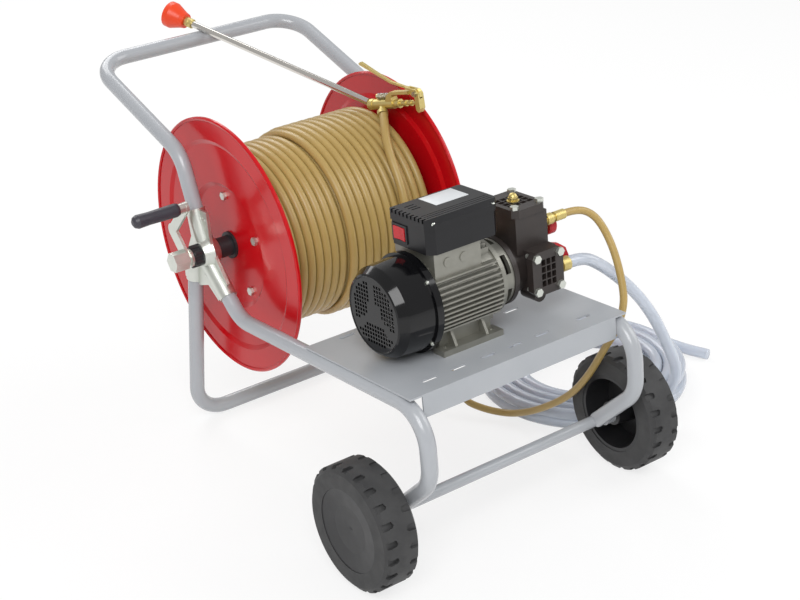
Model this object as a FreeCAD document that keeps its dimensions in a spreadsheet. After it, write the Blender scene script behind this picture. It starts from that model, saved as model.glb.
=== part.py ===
import FreeCAD, Part
import math
import os
import Sketcher
from FreeCAD import Placement, Rotation, Vector

# Wheeled electric spraying unit: tubular trolley, hose reel, motor pump, gun and suction hose.
# Millimetres, +Z up, X along the axle, +Y from the wheels back to the handle.

doc = FreeCAD.newDocument("SprayTrolley")
sheet = doc.addObject("Spreadsheet::Sheet", "Sizes")
names = []
nodes = []
cord_nodes = []


# One driving dimension: a row of the sheet with its own alias.
def size(name, value):
    names.append(name)
    row = len(names)
    sheet.set("A%d" % row, name)
    sheet.set("B%d" % row, str(value))
    sheet.setAlias("B%d" % row, name)
    return value


# ---- driving dimensions: trolley
tube_diameter = size("tube_diameter", 27.0)
tube_wall = size("tube_wall", 2.4)
bend_radius = size("bend_radius", 62.0)
frame_half_width = size("frame_half_width", 214.0)
upright_y = size("upright_y", -99.0)
upright_rise = size("upright_rise", 83.6)
handle_y = size("handle_y", 829.8)
handle_height = size("handle_height", 689.6)
handle_knee_y = size("handle_knee_y", 552.0)
handle_knee_height = size("handle_knee_height", 578.4)
foot_y = size("foot_y", 625.8)
foot_height = size("foot_height", 55.9)
leg_lean = size("leg_lean", 0.23)
riser_lean = size("riser_lean", 0.29)
tube_end_gap = size("tube_end_gap", 32.0)
wheel_radius = size("wheel_radius", 105.0)
tyre_width = size("tyre_width", 64.0)
rim_radius = size("rim_radius", 70.0)
wheel_gap = size("wheel_gap", 17.5)
tread_depth = size("tread_depth", 5.0)
axle_diameter = size("axle_diameter", 20.0)
running_gap = size("running_gap", 0.05)
side_gap = size("side_gap", 0.4)

# ---- driving dimensions: deck and motor pump
deck_height = size("deck_height", 324.0)
deck_front = size("deck_front", -74.5)
deck_length = size("deck_length", 281.0)
deck_overhang = size("deck_overhang", 7.0)
deck_sheet = size("deck_sheet", 3.0)
deck_lip = size("deck_lip", 39.0)
motor_y = size("motor_y", 66.0)
shaft_height = size("shaft_height", 83.0)
stator_radius = size("stator_radius", 62.0)
fin_height = size("fin_height", 9.0)
fin_thickness = size("fin_thickness", 2.8)
fin_pitch = size("fin_pitch", 8.4)
stator_start = size("stator_start", -110.0)
stator_length = size("stator_length", 142.0)
lantern_length = size("lantern_length", 30.0)
cover_radius = size("cover_radius", 82.3)
cover_length = size("cover_length", 74.0)
cover_wall = size("cover_wall", 2.0)
rotor_diameter = size("rotor_diameter", 19.0)
foot_half_span = size("foot_half_span", 61.0)
foot_thickness = size("foot_thickness", 10.0)
box_length = size("box_length", 140.0)
box_width = size("box_width", 107.0)
box_height = size("box_height", 41.0)
lid_height = size("lid_height", 17.0)
pump_length = size("pump_length", 88.0)
head_bolt_x = size("head_bolt_x", 49.0)
head_bolt_z = size("head_bolt_z", 57.0)

# ---- driving dimensions: reel
reel_y = size("reel_y", 504.6)
reel_height = size("reel_height", 409.3)
shaft_diameter = size("shaft_diameter", 20.0)
flange_radius = size("flange_radius", 229.5)
flange_sheet = size("flange_sheet", 1.6)
flange_gap = size("flange_gap", 34.0)
drum_radius = size("drum_radius", 100.0)
drum_sheet = size("drum_sheet", 2.5)
bolt_circle = size("bolt_circle", 90.0)
hose_diameter = size("hose_diameter", 15.5)
hose_pitch = size("hose_pitch", 16.2)
winding_radius = size("winding_radius", 173.0)
winding_step = size("winding_step", 9.5)
bracket_sheet = size("bracket_sheet", 2.5)
bearing_radius = size("bearing_radius", 16.0)
crank_reach = size("crank_reach", 102.0)
crank_strip = size("crank_strip", 5.0)
grip_length = size("grip_length", 86.0)
grip_radius = size("grip_radius", 12.0)

# ---- driving dimensions: gun and hoses
lance_diameter = size("lance_diameter", 12.5)
nozzle_length = size("nozzle_length", 56.0)
gun_width = size("gun_width", 15.0)
link_diameter = size("link_diameter", 13.0)
suction_diameter = size("suction_diameter", 21.0)
suction_pitch = size("suction_pitch", 21.8)
coil_radius = size("coil_radius", 196.0)

# ---- places worked out from the driving dimensions
tube_radius = tube_diameter / 2
axle_radius = axle_diameter / 2
shaft_radius = shaft_diameter / 2
wheel_x = frame_half_width + tube_radius + wheel_gap + tyre_width / 2
run_height = deck_height - deck_sheet - tube_radius
motor_z = deck_height + shaft_height
stator_end = stator_start + stator_length
pump_start = stator_end + lantern_length
pump_end = pump_start + pump_length
plate_outer = frame_half_width + tube_radius + bracket_sheet
plate_inner = frame_half_width - tube_radius - bracket_sheet
drum_end = plate_inner - flange_gap
drum_length = 2 * drum_end

# The parked chassis leans back about the axle until its foot bar stands on the floor.
foot_drop = foot_height - wheel_radius
foot_reach = math.hypot(foot_drop, foot_y)
lean_angle = math.acos((tube_radius - wheel_radius) / foot_reach) - math.atan2(foot_y, foot_drop)
lean = Placement(Vector(0, 0, 0), Rotation(Vector(1, 0, 0), -math.degrees(lean_angle)),
                 Vector(0, 0, wheel_radius))


def at(x, y, z, rotation=None):
    return lean.multiply(Placement(Vector(x, y, z), rotation or Rotation()))


motor_at = at(0, motor_y, motor_z)
reel_at = at(0, reel_y, reel_height)


# ---- helpers -------------------------------------------------------------
def bind(thing, field, expression):
    thing.setExpression(field, expression)


def keep(thing, label, placement=None):
    thing.Label = label
    if placement is not None:
        thing.Placement = placement
    nodes.append(thing)
    return thing


def new_body(label, placement):
    body = doc.addObject("PartDesign::Body", label)
    return keep(body, label, placement)


def origin_part(body, role):
    return next(item for item in body.Origin.OriginFeatures if item.Role == role)


def new_sketch(body, plane, offset=0.0, turn=None):
    sketch = body.newObject("Sketcher::SketchObject", body.Name + "Sketch")
    sketch.AttachmentSupport = [(origin_part(body, plane), "")]
    sketch.MapMode = "FlatFace"
    sketch.AttachmentOffset = Placement(Vector(0, 0, offset), turn or Rotation())
    return sketch


def outline(sketch, points):
    corners = [Vector(x, y, 0) for x, y in points]
    first = sketch.GeometryCount
    for start, end in zip(corners, corners[1:] + corners[:1]):
        sketch.addGeometry(Part.LineSegment(start, end))
    count = len(corners)
    for index in range(count):
        following = first + (index + 1) % count
        sketch.addConstraint(Sketcher.Constraint("Coincident", first + index, 2, following, 1))


def ring(sketch, x, y, radius, expression=None):
    index = sketch.addGeometry(Part.Circle(Vector(x, y, 0), Vector(0, 0, 1), radius))
    if expression:
        number = sketch.addConstraint(Sketcher.Constraint("Radius", index, radius))
        sketch.setExpression("Constraints[%d]" % number, expression)
    return index


def slot(sketch, x, y, length, width):
    half = (length - width) / 2
    low = Vector(x - half, y - width / 2, 0)
    high = Vector(x + half, y + width / 2, 0)
    sketch.addGeometry(Part.LineSegment(low, Vector(high.x, low.y, 0)))
    sketch.addGeometry(Part.LineSegment(high, Vector(low.x, high.y, 0)))
    arc_end = Part.Arc(Vector(high.x, low.y, 0), Vector(high.x + width / 2, y, 0), high)
    arc_start = Part.Arc(Vector(low.x, high.y, 0), Vector(low.x - width / 2, y, 0), low)
    sketch.addGeometry(arc_end)
    sketch.addGeometry(arc_start)


def pad(body, sketch, length, expression=None, both=False, back=False):
    feature = body.newObject("PartDesign::Pad", body.Name + "Pad")
    feature.Profile = sketch
    feature.Length = length
    feature.Midplane = both
    feature.Reversed = back
    if expression:
        bind(feature, "Length", expression)
    sketch.Visibility = False
    return feature


def pocket(body, sketch, depth=None, back=False, both=False):
    feature = body.newObject("PartDesign::Pocket", body.Name + "Pocket")
    feature.Profile = sketch
    feature.Reversed = back
    feature.Midplane = both
    if depth is None:
        feature.Type = "ThroughAll"
    else:
        feature.Length = depth
    return feature


def around_x(body, feature, count):
    pattern = body.newObject("PartDesign::PolarPattern", body.Name + "Ring")
    pattern.Originals = [feature]
    pattern.Axis = (origin_part(body, "X_Axis"), [""])
    pattern.Angle = 360
    pattern.Occurrences = count
    body.Tip = pattern
    return pattern


# A solid of revolution about its own X axis, from (x, radius) points.
def turned(label, points, placement):
    body = new_body(label, placement)
    spin(body, points)
    return body


def spin(body, points, cut=False):
    sketch = new_sketch(body, "XY_Plane")
    outline(sketch, points)
    kind = "PartDesign::Groove" if cut else "PartDesign::Revolution"
    feature = body.newObject(kind, body.Name + "Turn")
    feature.Profile = sketch
    feature.ReferenceAxis = (origin_part(body, "X_Axis"), [""])
    feature.Angle = 360
    return feature


# Straight runs joined by tangent arcs; radii is one number or one for each inner corner.
def bent_line(points, radii):
    corners = [Vector(*point) for point in points]
    edges = []
    start = corners[0]
    for number in range(1, len(corners) - 1):
        before, corner, after = corners[number - 1], corners[number], corners[number + 1]
        radius = radii if isinstance(radii, float) else radii[number - 1]
        inward = corner.sub(before).normalize()
        outward = after.sub(corner).normalize()
        turn = inward.getAngle(outward)
        reach = radius * math.tan(turn / 2)
        arc_start = corner.sub(inward * reach)
        arc_end = corner.add(outward * reach)
        middle = corner.add((outward - inward).normalize() * (radius / math.cos(turn / 2) - radius))
        if arc_start.sub(start).Length > 1e-6:
            edges.append(Part.LineSegment(start, arc_start).toShape())
        edges.append(Part.Arc(arc_start, middle, arc_end).toShape())
        start = arc_end
    edges.append(Part.LineSegment(start, corners[-1]).toShape())
    return Part.Wire(edges)


def swept(line, radius):
    first = line.OrderedEdges[0]
    begin = first.valueAt(first.FirstParameter)
    direction = first.tangentAt(first.FirstParameter)
    profile = Part.Wire([Part.makeCircle(radius, begin, direction)])
    return line.makePipeShell([profile], True, False)


def frame_tube(label, points):
    line = bent_line(points, bend_radius)
    shape = swept(line, tube_radius).cut(swept(line, tube_radius - tube_wall))
    thing = doc.addObject("Part::Feature", label)
    thing.Shape = shape
    return keep(thing, label, lean)


# ---- trolley frame ---------------------------------------------------------
reel_point = Vector(0, reel_y, reel_height)


def side_points(x):
    axle = Vector(x, 0, wheel_radius)
    knee = Vector(x, upright_y, wheel_radius + upright_rise)
    shoulder = Vector(x, upright_y, run_height)
    dip_y = reel_y - (reel_height - run_height) + tube_radius
    dip = Vector(x, dip_y, run_height)
    up = Vector(0, 1, 1).normalize()
    ahead = reel_point.sub(Vector(0, dip.y, dip.z)).dot(up)
    end = dip.add(up * (ahead - tube_end_gap - tube_radius))
    return [axle, knee, shoulder, dip, end]


for side, x in (("left", -frame_half_width), ("right", frame_half_width)):
    tube = frame_tube("side_tube_" + side, side_points(x))
    seat = Part.makeCylinder(axle_radius, 4 * tube_radius, Vector(x - 2 * tube_radius, 0, wheel_radius),
                             Vector(1, 0, 0))
    seat.Placement = lean.multiply(seat.Placement)
    tube.Shape = tube.Shape.cut(seat)

riser_foot_z = reel_height + tube_end_gap + 1.5
riser_foot_y = handle_knee_y - (handle_knee_height - riser_foot_z) * riser_lean
handle_points = []
for x in (-frame_half_width, frame_half_width):
    rail = [(x, riser_foot_y, riser_foot_z), (x, handle_knee_y, handle_knee_height),
            (x, handle_y, handle_height)]
    handle_points += rail if x < 0 else rail[::-1]
frame_tube("handle_tube", handle_points)

leg_top_z = reel_height - tube_end_gap - 4
leg_top_y = foot_y - leg_lean * (leg_top_z - foot_height)
leg_points = [(-frame_half_width, leg_top_y, leg_top_z), (-frame_half_width, foot_y, foot_height),
              (frame_half_width, foot_y, foot_height), (frame_half_width, leg_top_y, leg_top_z)]
frame_tube("leg_tube", leg_points)

# ---- axle and wheels --------------------------------------------------------
collar_outer = wheel_x - tyre_width / 2 - side_gap
axle_end = wheel_x + tyre_width / 2 - 19
collar_start = frame_half_width + tube_radius
turned("axle_bar", [(-axle_end, 0), (axle_end, 0), (axle_end, axle_radius), (collar_outer, axle_radius),
                    (collar_outer, axle_radius + 5), (collar_start, axle_radius + 5),
                    (collar_start, axle_radius), (-collar_start, axle_radius),
                    (-collar_start, axle_radius + 5), (-collar_outer, axle_radius + 5),
                    (-collar_outer, axle_radius), (-axle_end, axle_radius)], at(0, 0, wheel_radius))

lug_count = 22
half_tyre = tyre_width / 2


def tread_groove(body, side, shift):
    sketch = new_sketch(body, "XY_Plane", wheel_radius + 1)
    outline(sketch, [(side * 10, shift - 2.5), (side * 13, shift - 6), (side * (half_tyre + 1), shift - 8),
                     (side * (half_tyre + 1), shift + 4), (side * 13, shift + 4)])
    cut = pocket(body, sketch, tread_depth + 1)
    around_x(body, cut, lug_count)


for side, x in (("left", -wheel_x), ("right", wheel_x)):
    outward = Rotation() if x < 0 else Rotation(Vector(0, 0, 1), 180)
    place = at(x, 0, wheel_radius, outward)
    tyre = turned("tyre_" + side, [(-half_tyre, rim_radius), (-half_tyre, wheel_radius - 9),
                                   (-half_tyre + 7, wheel_radius), (half_tyre - 7, wheel_radius),
                                   (half_tyre, wheel_radius - 9), (half_tyre, rim_radius)], place)
    tread_groove(tyre, -1, 0)
    tread_groove(tyre, 1, math.pi * wheel_radius / lug_count)
    bore = axle_radius + running_gap
    turned("rim_" + side, [(-half_tyre + 7, 0), (-half_tyre + 5, 40), (-half_tyre + 2, rim_radius - 8),
                           (-half_tyre + 1, rim_radius), (half_tyre - 1, rim_radius),
                           (half_tyre - 1, rim_radius - 7), (-half_tyre + 14, rim_radius - 12),
                           (-half_tyre + 16, bore + 16), (half_tyre - 2, bore + 11), (half_tyre, bore),
                           (-half_tyre + 18, bore), (-half_tyre + 18, 0)], place)

# ---- deck --------------------------------------------------------------------
deck = new_body("deck_plate", at(0, 0, 0))
lip_half = plate_inner - side_gap
deck_rear = deck_front + deck_length
face = new_sketch(deck, "XY_Plane", deck_height - deck_sheet)
half = frame_half_width + deck_overhang
outline(face, [(-half, deck_front), (half, deck_front), (half, deck_rear), (-half, deck_rear)])
pad(deck, face, deck_sheet, "Sizes.deck_sheet")
for y, reach in ((deck_front, deck_sheet), (deck_rear - deck_sheet, deck_sheet)):
    lip = new_sketch(deck, "XY_Plane", deck_height - deck_lip)
    outline(lip, [(-lip_half, y), (lip_half, y), (lip_half, y + reach), (-lip_half, y + reach)])
    pad(deck, lip, deck_lip, "Sizes.deck_lip")
slots = new_sketch(deck, "XY_Plane", deck_height)
slot_length = 30.0
slot_width = 8.0
foot_bolt_y = foot_half_span - 14.0
foot_bolt_x = (stator_start + 30, stator_end - 18)
for x in (-156, -99, -39, 16, 72, 160):
    slot(slots, x, deck_front + 37, slot_length, slot_width)
for x, y in ((-149, deck_rear - 15), (100, deck_rear - 134), (160, deck_rear - 40)):
    slot(slots, x, y, slot_length, slot_width)
for x in foot_bolt_x:
    for y in (motor_y - foot_bolt_y, motor_y + foot_bolt_y):
        slot(slots, x, y, slot_width + 6, slot_width + 1)
pocket(deck, slots, deck_sheet)

# ---- reel brackets and bearings --------------------------------------------------
bracket_outline = [(riser_foot_y - 27, reel_height + 77), (riser_foot_y + 43, reel_height + 77),
                   (riser_foot_y + 36, reel_height + 20), (reel_y + 85, reel_height - 44),
                   (reel_y + 85, reel_height - 66), (reel_y + 33, reel_height - 70),
                   (reel_y + 6, reel_height - 62), (reel_y - 23, reel_height - 84),
                   (reel_y - 61, reel_height - 43), (reel_y - 27, reel_height + 4),
                   (reel_y - 20, reel_height + 30)]
rivet_points = [(riser_foot_y - 17, reel_height + 62), (riser_foot_y + 34.5, reel_height + 62),
                (reel_y + 10, reel_height - 46), (reel_y + 77, reel_height - 55)]
rivet_radius = size("rivet_radius", 2.5)
bolt_radius = size("clamp_bolt_radius", 4.0)


# A hexagon-headed bolt along +X from its head's seat at start; the head lies on the -X side.
def hex_bolt(start, y, z, shank, grip, head_width=13.0, head_height=5.5):
    corners = []
    for step in range(7):
        angle = math.radians(60 * step)
        corners.append(Vector(start, y + head_width / math.sqrt(3) * math.cos(angle),
                              z + head_width / math.sqrt(3) * math.sin(angle)))
    head = Part.Face(Part.makePolygon(corners)).extrude(Vector(-head_height, 0, 0))
    rod = Part.makeCylinder(shank, grip, Vector(start, y, z), Vector(1, 0, 0))
    return head.fuse(rod)


def shape_node(label, shapes, placement):
    thing = doc.addObject("Part::Feature", label)
    thing.Shape = shapes[0] if len(shapes) == 1 else Part.makeCompound(shapes)
    return keep(thing, label, placement)


# Each tube's end at the reel: where it stops, which way it leaves, and where its channel starts and stops.
riser_way = Vector(0, riser_lean, 1).normalize()
side_way = Vector(0, -1, -1).normalize()
leg_way = Vector(0, leg_lean, -1).normalize()
side_end = side_points(0)[-1]
tube_ends = [(Vector(0, riser_foot_y, riser_foot_z), riser_way, 0.0, 78.0), (side_end, side_way, 0.0, 88.0),
             (Vector(0, leg_top_y, leg_top_z), leg_way, 40.0, 72.0)]
boss_wide = bearing_radius + 15.0
boss_narrow = bearing_radius + 6.0
plate_gap = size("plate_gap", 0.2)


# Half of a pressed clamp: a flat plate with a channel over each tube's end and a boss for the bearing.
def clamp_half(side):
    channel_radius = tube_radius + bracket_sheet
    face = Part.Face(Part.makePolygon([Vector(0, y, z) for y, z in bracket_outline + bracket_outline[:1]]))
    plate = face.extrude(Vector(plate_gap + bracket_sheet, 0, 0))
    centre = Vector(0, reel_y, reel_height)
    raised = [Part.makeCone(boss_wide, boss_narrow, channel_radius, centre, Vector(1, 0, 0))]
    hollow = [Part.makeCylinder(bearing_radius, 2 * channel_radius, centre, Vector(1, 0, 0))]
    for end, direction, begin, reach in tube_ends:
        start = end.add(direction * (begin - end.sub(centre).dot(direction)))
        raised.append(Part.makeCylinder(channel_radius, reach - begin, start, direction))
        hollow.append(Part.makeCylinder(tube_radius + plate_gap, 200, end.sub(direction * plate_gap),
                                        direction))
    shape = plate.fuse(raised)
    near = Part.makeBox(channel_radius, 400, 400, Vector(plate_gap, reel_y - 200, reel_height - 200))
    shape = shape.common(near).cut(hollow)
    for y, z in rivet_points:
        shape = shape.cut(Part.makeCylinder(rivet_radius, channel_radius, Vector(0, y, z), Vector(1, 0, 0)))
    shape = shape.removeSplitter()
    return shape if side > 0 else shape.mirror(Vector(0, 0, 0), Vector(1, 0, 0))


rivets = []
for side, sign in (("left", -1), ("right", 1)):
    middle = sign * frame_half_width
    shape_node("bracket_%s_outer" % side, [clamp_half(sign)], at(middle, 0, 0))
    shape_node("bracket_%s_inner" % side, [clamp_half(-sign)], at(middle, 0, 0))
    bore = shaft_radius + running_gap
    near = plate_inner
    far = plate_outer + (17 if sign < 0 else 1)
    turned("bearing_" + side, [(sign * near, bore), (sign * far, bore),
                               (sign * far, bearing_radius), (sign * near, bearing_radius)], reel_at)
    half_grip = plate_gap + bracket_sheet
    for y, z in rivet_points:
        rivet = Part.makeCylinder(rivet_radius, 2 * half_grip, Vector(middle - half_grip, y, z),
                                  Vector(1, 0, 0))
        for turn in (-1, 1):
            head = Part.makeCone(rivet_radius + 2, rivet_radius, 1.6, Vector(middle + turn * half_grip, y, z),
                                 Vector(turn, 0, 0))
            rivet = rivet.fuse(head)
        rivets.append(rivet)
shape_node("bracket_bolts", rivets, at(0, 0, 0))

# lobed lock knob that turns with nothing: it clamps the left bearing from outside
lobes = doc.getObject("bearing_left")
knob = new_sketch(lobes, "YZ_Plane", -plate_outer)
ring(knob, 0, 15.5, 5.0)
lobe = pad(lobes, knob, 16.0, back=True)
around_x(lobes, lobe, 6)

# ---- reel ---------------------------------------------------------------------------
crank_gap = plate_outer + 17 + side_gap
hub_end = -crank_gap - 4.0
arm_face = hub_end - crank_strip
coupling_length = size("coupling_length", 27.0)
coupling_width = size("coupling_width", 31.0)
shaft = turned("reel_shaft", [(arm_face - coupling_length, 0), (arm_face - coupling_length, shaft_radius),
                              (plate_outer + 20, shaft_radius), (plate_outer + 20, 0)], reel_at)
hexagon = [(coupling_width / math.sqrt(3) * math.cos(math.radians(60 * step)),
            coupling_width / math.sqrt(3) * math.sin(math.radians(60 * step))) for step in range(6)]
coupling = new_sketch(shaft, "YZ_Plane", arm_face - coupling_length)
outline(coupling, hexagon)
pad(shaft, coupling, coupling_length, "Sizes.coupling_length")
turned("crank_hub", [(-crank_gap, shaft_radius), (-crank_gap, bearing_radius), (hub_end, bearing_radius),
                     (hub_end, shaft_radius)], reel_at)
hub_points = [(drum_end + flange_sheet, shaft_radius), (drum_end + flange_sheet, 24), (drum_end + 6, 24),
              (drum_end + 6, 18), (plate_inner - side_gap, 18), (plate_inner - side_gap, shaft_radius)]
turned("hub_right", hub_points, reel_at)
turned("hub_left", [(-x, radius) for x, radius in hub_points], reel_at)

ledge = bolt_circle - 12.0
drum_inside = drum_radius - drum_sheet
drum = turned("drum", [(-drum_end, drum_radius), (-drum_end, ledge), (-drum_end + drum_sheet, ledge),
                       (-drum_end + drum_sheet, drum_inside), (drum_end - drum_sheet, drum_inside),
                       (drum_end - drum_sheet, ledge), (drum_end, ledge), (drum_end, drum_radius)], reel_at)
bolt_count = 5


def bolt_holes(body):
    sketch = new_sketch(body, "YZ_Plane")
    ring(sketch, 0, bolt_circle, bolt_radius, "Sizes.clamp_bolt_radius")
    cut = pocket(body, sketch, drum_length + 40, both=True)
    around_x(body, cut, bolt_count)


bolt_holes(drum)
step_radius = 0.79 * flange_radius
boss_radius = drum_radius + 5
for side, turn in (("left", Rotation()), ("right", Rotation(Vector(0, 0, 1), 180))):
    inner_line = [(0, shaft_radius), (0, boss_radius), (-6, boss_radius + 8), (-6, step_radius),
                  (-10, step_radius + 8), (-10, flange_radius - 6)]
    rolled_rim = [(-7.5, flange_radius - 5), (-7, flange_radius - 2), (-9, flange_radius),
                  (-12.5, flange_radius), (-14.5, flange_radius - 2.5), (-13, flange_radius - 6)]
    outer_line = [(x - flange_sheet, radius + 0.3 * flange_sheet) for x, radius in inner_line[::-1][:-1]]
    profile = inner_line + rolled_rim + outer_line + [(-flange_sheet, shaft_radius)]
    flange = turned("flange_" + side, [(x - drum_end, radius) for x, radius in profile],
                    reel_at.multiply(Placement(Vector(0, 0, 0), turn)))
    bolt_holes(flange)

flange_bolts = []
for number in range(bolt_count):
    angle = 2 * math.pi * number / bolt_count
    y = -bolt_circle * math.sin(angle)
    z = bolt_circle * math.cos(angle)
    left = hex_bolt(-drum_end - flange_sheet, y, z, bolt_radius, flange_sheet + drum_sheet + 6)
    right = hex_bolt(-drum_end - flange_sheet, -y, z, bolt_radius, flange_sheet + drum_sheet + 6)
    right.rotate(Vector(0, 0, 0), Vector(0, 0, 1), 180)
    flange_bolts += [left, right]
shape_node("flange_bolts", flange_bolts, reel_at)

# the buried layers of hose are a plain core with one step, and the outer layer winds over it
winding_gap = 0.95
core_high = winding_radius - hose_diameter - winding_gap
core_low = core_high - winding_step
turns = int((drum_length - hose_diameter - 3) / hose_pitch)
step_turns = 0.4 * turns
winding_start = -turns * hose_pitch / 2
step_x = winding_start + (int(step_turns) + 0.75) * hose_pitch + hose_diameter / 2
core_end = drum_end - side_gap
turned("hose_core", [(-core_end, drum_radius), (core_end, drum_radius), (core_end, core_high),
                     (step_x + 1, core_high), (step_x, core_low), (-core_end, core_low)], reel_at)


# Two arcs that join two points with given end directions, tangent where they meet.
def biarc(start, start_way, end, end_way):
    span = end.sub(start)
    both = start_way.add(end_way)
    square = 2 * (start_way.dot(end_way) - 1)
    slope = span.dot(both)
    if abs(square) < 1e-9:
        reach = span.dot(span) / (2 * slope)
    else:
        reach = (slope - math.sqrt(slope * slope - square * span.dot(span))) / square
    first = start.add(start_way * reach)
    last = end.sub(end_way * reach)
    meet = first.add(last) * 0.5
    return [arc_from(start, start_way, meet), arc_from(end, end_way * -1, meet)]


def arc_from(start, way, end):
    chord = end.sub(start)
    side = chord.sub(way * chord.dot(way))
    side.normalize()
    radius = chord.dot(chord) / (2 * chord.dot(side))
    centre = start.add(side * radius)
    middle = start.sub(centre).add(end.sub(centre))
    middle.normalize()
    return start, centre.add(middle * radius), end


# A tube that follows point_at(t) from 0 to last, with a straight end one diameter long at each end.
def wound_tube(point_at, last, step, diameter):
    spots = []
    for number in range(math.ceil(last / step) + 1):
        here = min(number * step, last)
        way = point_at(here + 0.001).sub(point_at(here - 0.001))
        way.normalize()
        spots.append((point_at(here), way))
    begin, begin_way = spots[0]
    finish, finish_way = spots[-1]
    edges = [Part.LineSegment(begin.sub(begin_way * diameter), begin).toShape()]
    for (start, start_way), (end, end_way) in zip(spots, spots[1:]):
        first, second = biarc(start, start_way, end, end_way)
        edges.append(Part.Arc(*first).toShape())
        edges.append(Part.Arc(*second[::-1]).toShape())
    edges.append(Part.LineSegment(finish, finish.add(finish_way * diameter)).toShape())
    return Part.Wire(edges)


# The least gap between loops, measured on points a few degrees apart along the centre line.
def least_gap(line, diameter, loop_length):
    points = []
    places = []
    run = 0.0
    for edge in line.OrderedEdges:
        pieces = max(2, int(edge.Length / 6))
        for piece in range(pieces):
            share = edge.FirstParameter + (edge.LastParameter - edge.FirstParameter) * piece / pieces
            points.append(edge.valueAt(share))
            places.append(run + edge.Length * piece / pieces)
        run += edge.Length
    least = 1e9
    for one in range(len(points)):
        for other in range(one + 1, len(points)):
            if places[other] - places[one] > loop_length / 2:
                least = min(least, points[one].distanceToPoint(points[other]))
    return least - diameter


def winding_point(turn):
    angle = 2 * math.pi * (turn + 0.35)
    rise = min(max(2 * (turn - int(step_turns) - 0.5), 0.0), 1.0)
    radius = core_low + winding_gap + hose_diameter / 2 + winding_step * rise
    return Vector(winding_start + hose_pitch * turn, radius * math.cos(angle), radius * math.sin(angle))


winding_line = wound_tube(winding_point, turns, 0.5, hose_diameter)
print("hose_winding gap %.2f" % least_gap(winding_line, hose_diameter, 900))
shape_node("hose_winding", [swept(winding_line, hose_diameter / 2)], reel_at)


# A strap with round ends between two points of a sketch.
def strap(sketch, start, end, width):
    low, high = Vector(start[0], start[1], 0), Vector(end[0], end[1], 0)
    along = high.sub(low).normalize()
    across = Vector(-along.y, along.x, 0) * (width / 2)
    reach = along * (width / 2)
    sketch.addGeometry(Part.LineSegment(low.add(across), high.add(across)))
    sketch.addGeometry(Part.Arc(high.add(across), high.add(reach), high.sub(across)))
    sketch.addGeometry(Part.LineSegment(high.sub(across), low.sub(across)))
    sketch.addGeometry(Part.Arc(low.sub(across), low.sub(reach), low.add(across)))


pin_radius = size("grip_pin_radius", 5.0)
crank_tip = (-0.196 * crank_reach, 0.961 * crank_reach)
crank_elbow = (0.353 * crank_reach, 0.431 * crank_reach)
arm = new_body("crank_arm", reel_at)
for start, end, width in (((0, 0), crank_elbow, 24), (crank_elbow, crank_tip, 19)):
    sketch = new_sketch(arm, "YZ_Plane", arm_face)
    strap(sketch, start, end, width)
    pad(arm, sketch, crank_strip, "Sizes.crank_strip")
hole = new_sketch(arm, "YZ_Plane", arm_face)
ring(hole, 0, 0, shaft_radius, "Sizes.shaft_diameter / 2")
pocket(arm, hole, crank_strip, back=True)
pin = new_sketch(arm, "YZ_Plane", arm_face)
ring(pin, crank_tip[0], crank_tip[1], pin_radius, "Sizes.grip_pin_radius")
ferrule = new_sketch(arm, "YZ_Plane", arm_face)
ring(ferrule, crank_tip[0], crank_tip[1], grip_radius - 3)
ferrule_reach = size("ferrule_reach", 12.0)
pad(arm, ferrule, ferrule_reach, "Sizes.ferrule_reach", back=True)
pad(arm, pin, grip_length + ferrule_reach - 8, back=True)
grip_start = arm_face - ferrule_reach - side_gap
grip_tip = grip_start - grip_length
bore = pin_radius + running_gap
turned("crank_grip", [(grip_start, bore), (grip_start, grip_radius - 1.5), (grip_start - 5, grip_radius),
                      (grip_tip + 30, grip_radius - 1), (grip_tip + 9, grip_radius),
                      (grip_tip + 3, grip_radius - 2.5),
                      (grip_tip, grip_radius - 7), (grip_tip, 0), (grip_start - grip_length + 7, 0),
                      (grip_start - grip_length + 7, bore)],
       reel_at.multiply(Placement(Vector(0, crank_tip[0], crank_tip[1]), Rotation())))

# ---- motor ------------------------------------------------------------------------------
rotor_radius = rotor_diameter / 2
rotor_bore = rotor_radius + running_gap
shield_thickness = 8.0
seat_radius = cover_radius - cover_wall
motor = turned("motor_body", [(stator_start, rotor_bore), (stator_start, seat_radius),
                              (stator_start + shield_thickness, seat_radius),
                              (stator_start + shield_thickness, stator_radius),
                              (stator_end, stator_radius), (stator_end, rotor_bore)], motor_at)
fin_line = new_sketch(motor, "YZ_Plane", stator_start + shield_thickness)
fin_top = stator_radius + fin_height
fin_root = stator_radius - 3


# Straight fins that stand out to one circle: level ones at the sides, upright ones above and below.
def fins(sketch, count, upright):
    for number in range(-count, count + 1):
        low = number * fin_pitch - fin_thickness / 2
        high = low + fin_thickness
        far = math.sqrt(fin_top ** 2 - max(abs(low), abs(high)) ** 2)
        near = math.sqrt(fin_root ** 2 - max(abs(low), abs(high)) ** 2)
        for sign in (-1, 1):
            points = [(sign * near, low), (sign * far, low), (sign * far, high), (sign * near, high)]
            outline(sketch, [(v, u) for u, v in points] if upright else points)


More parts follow.
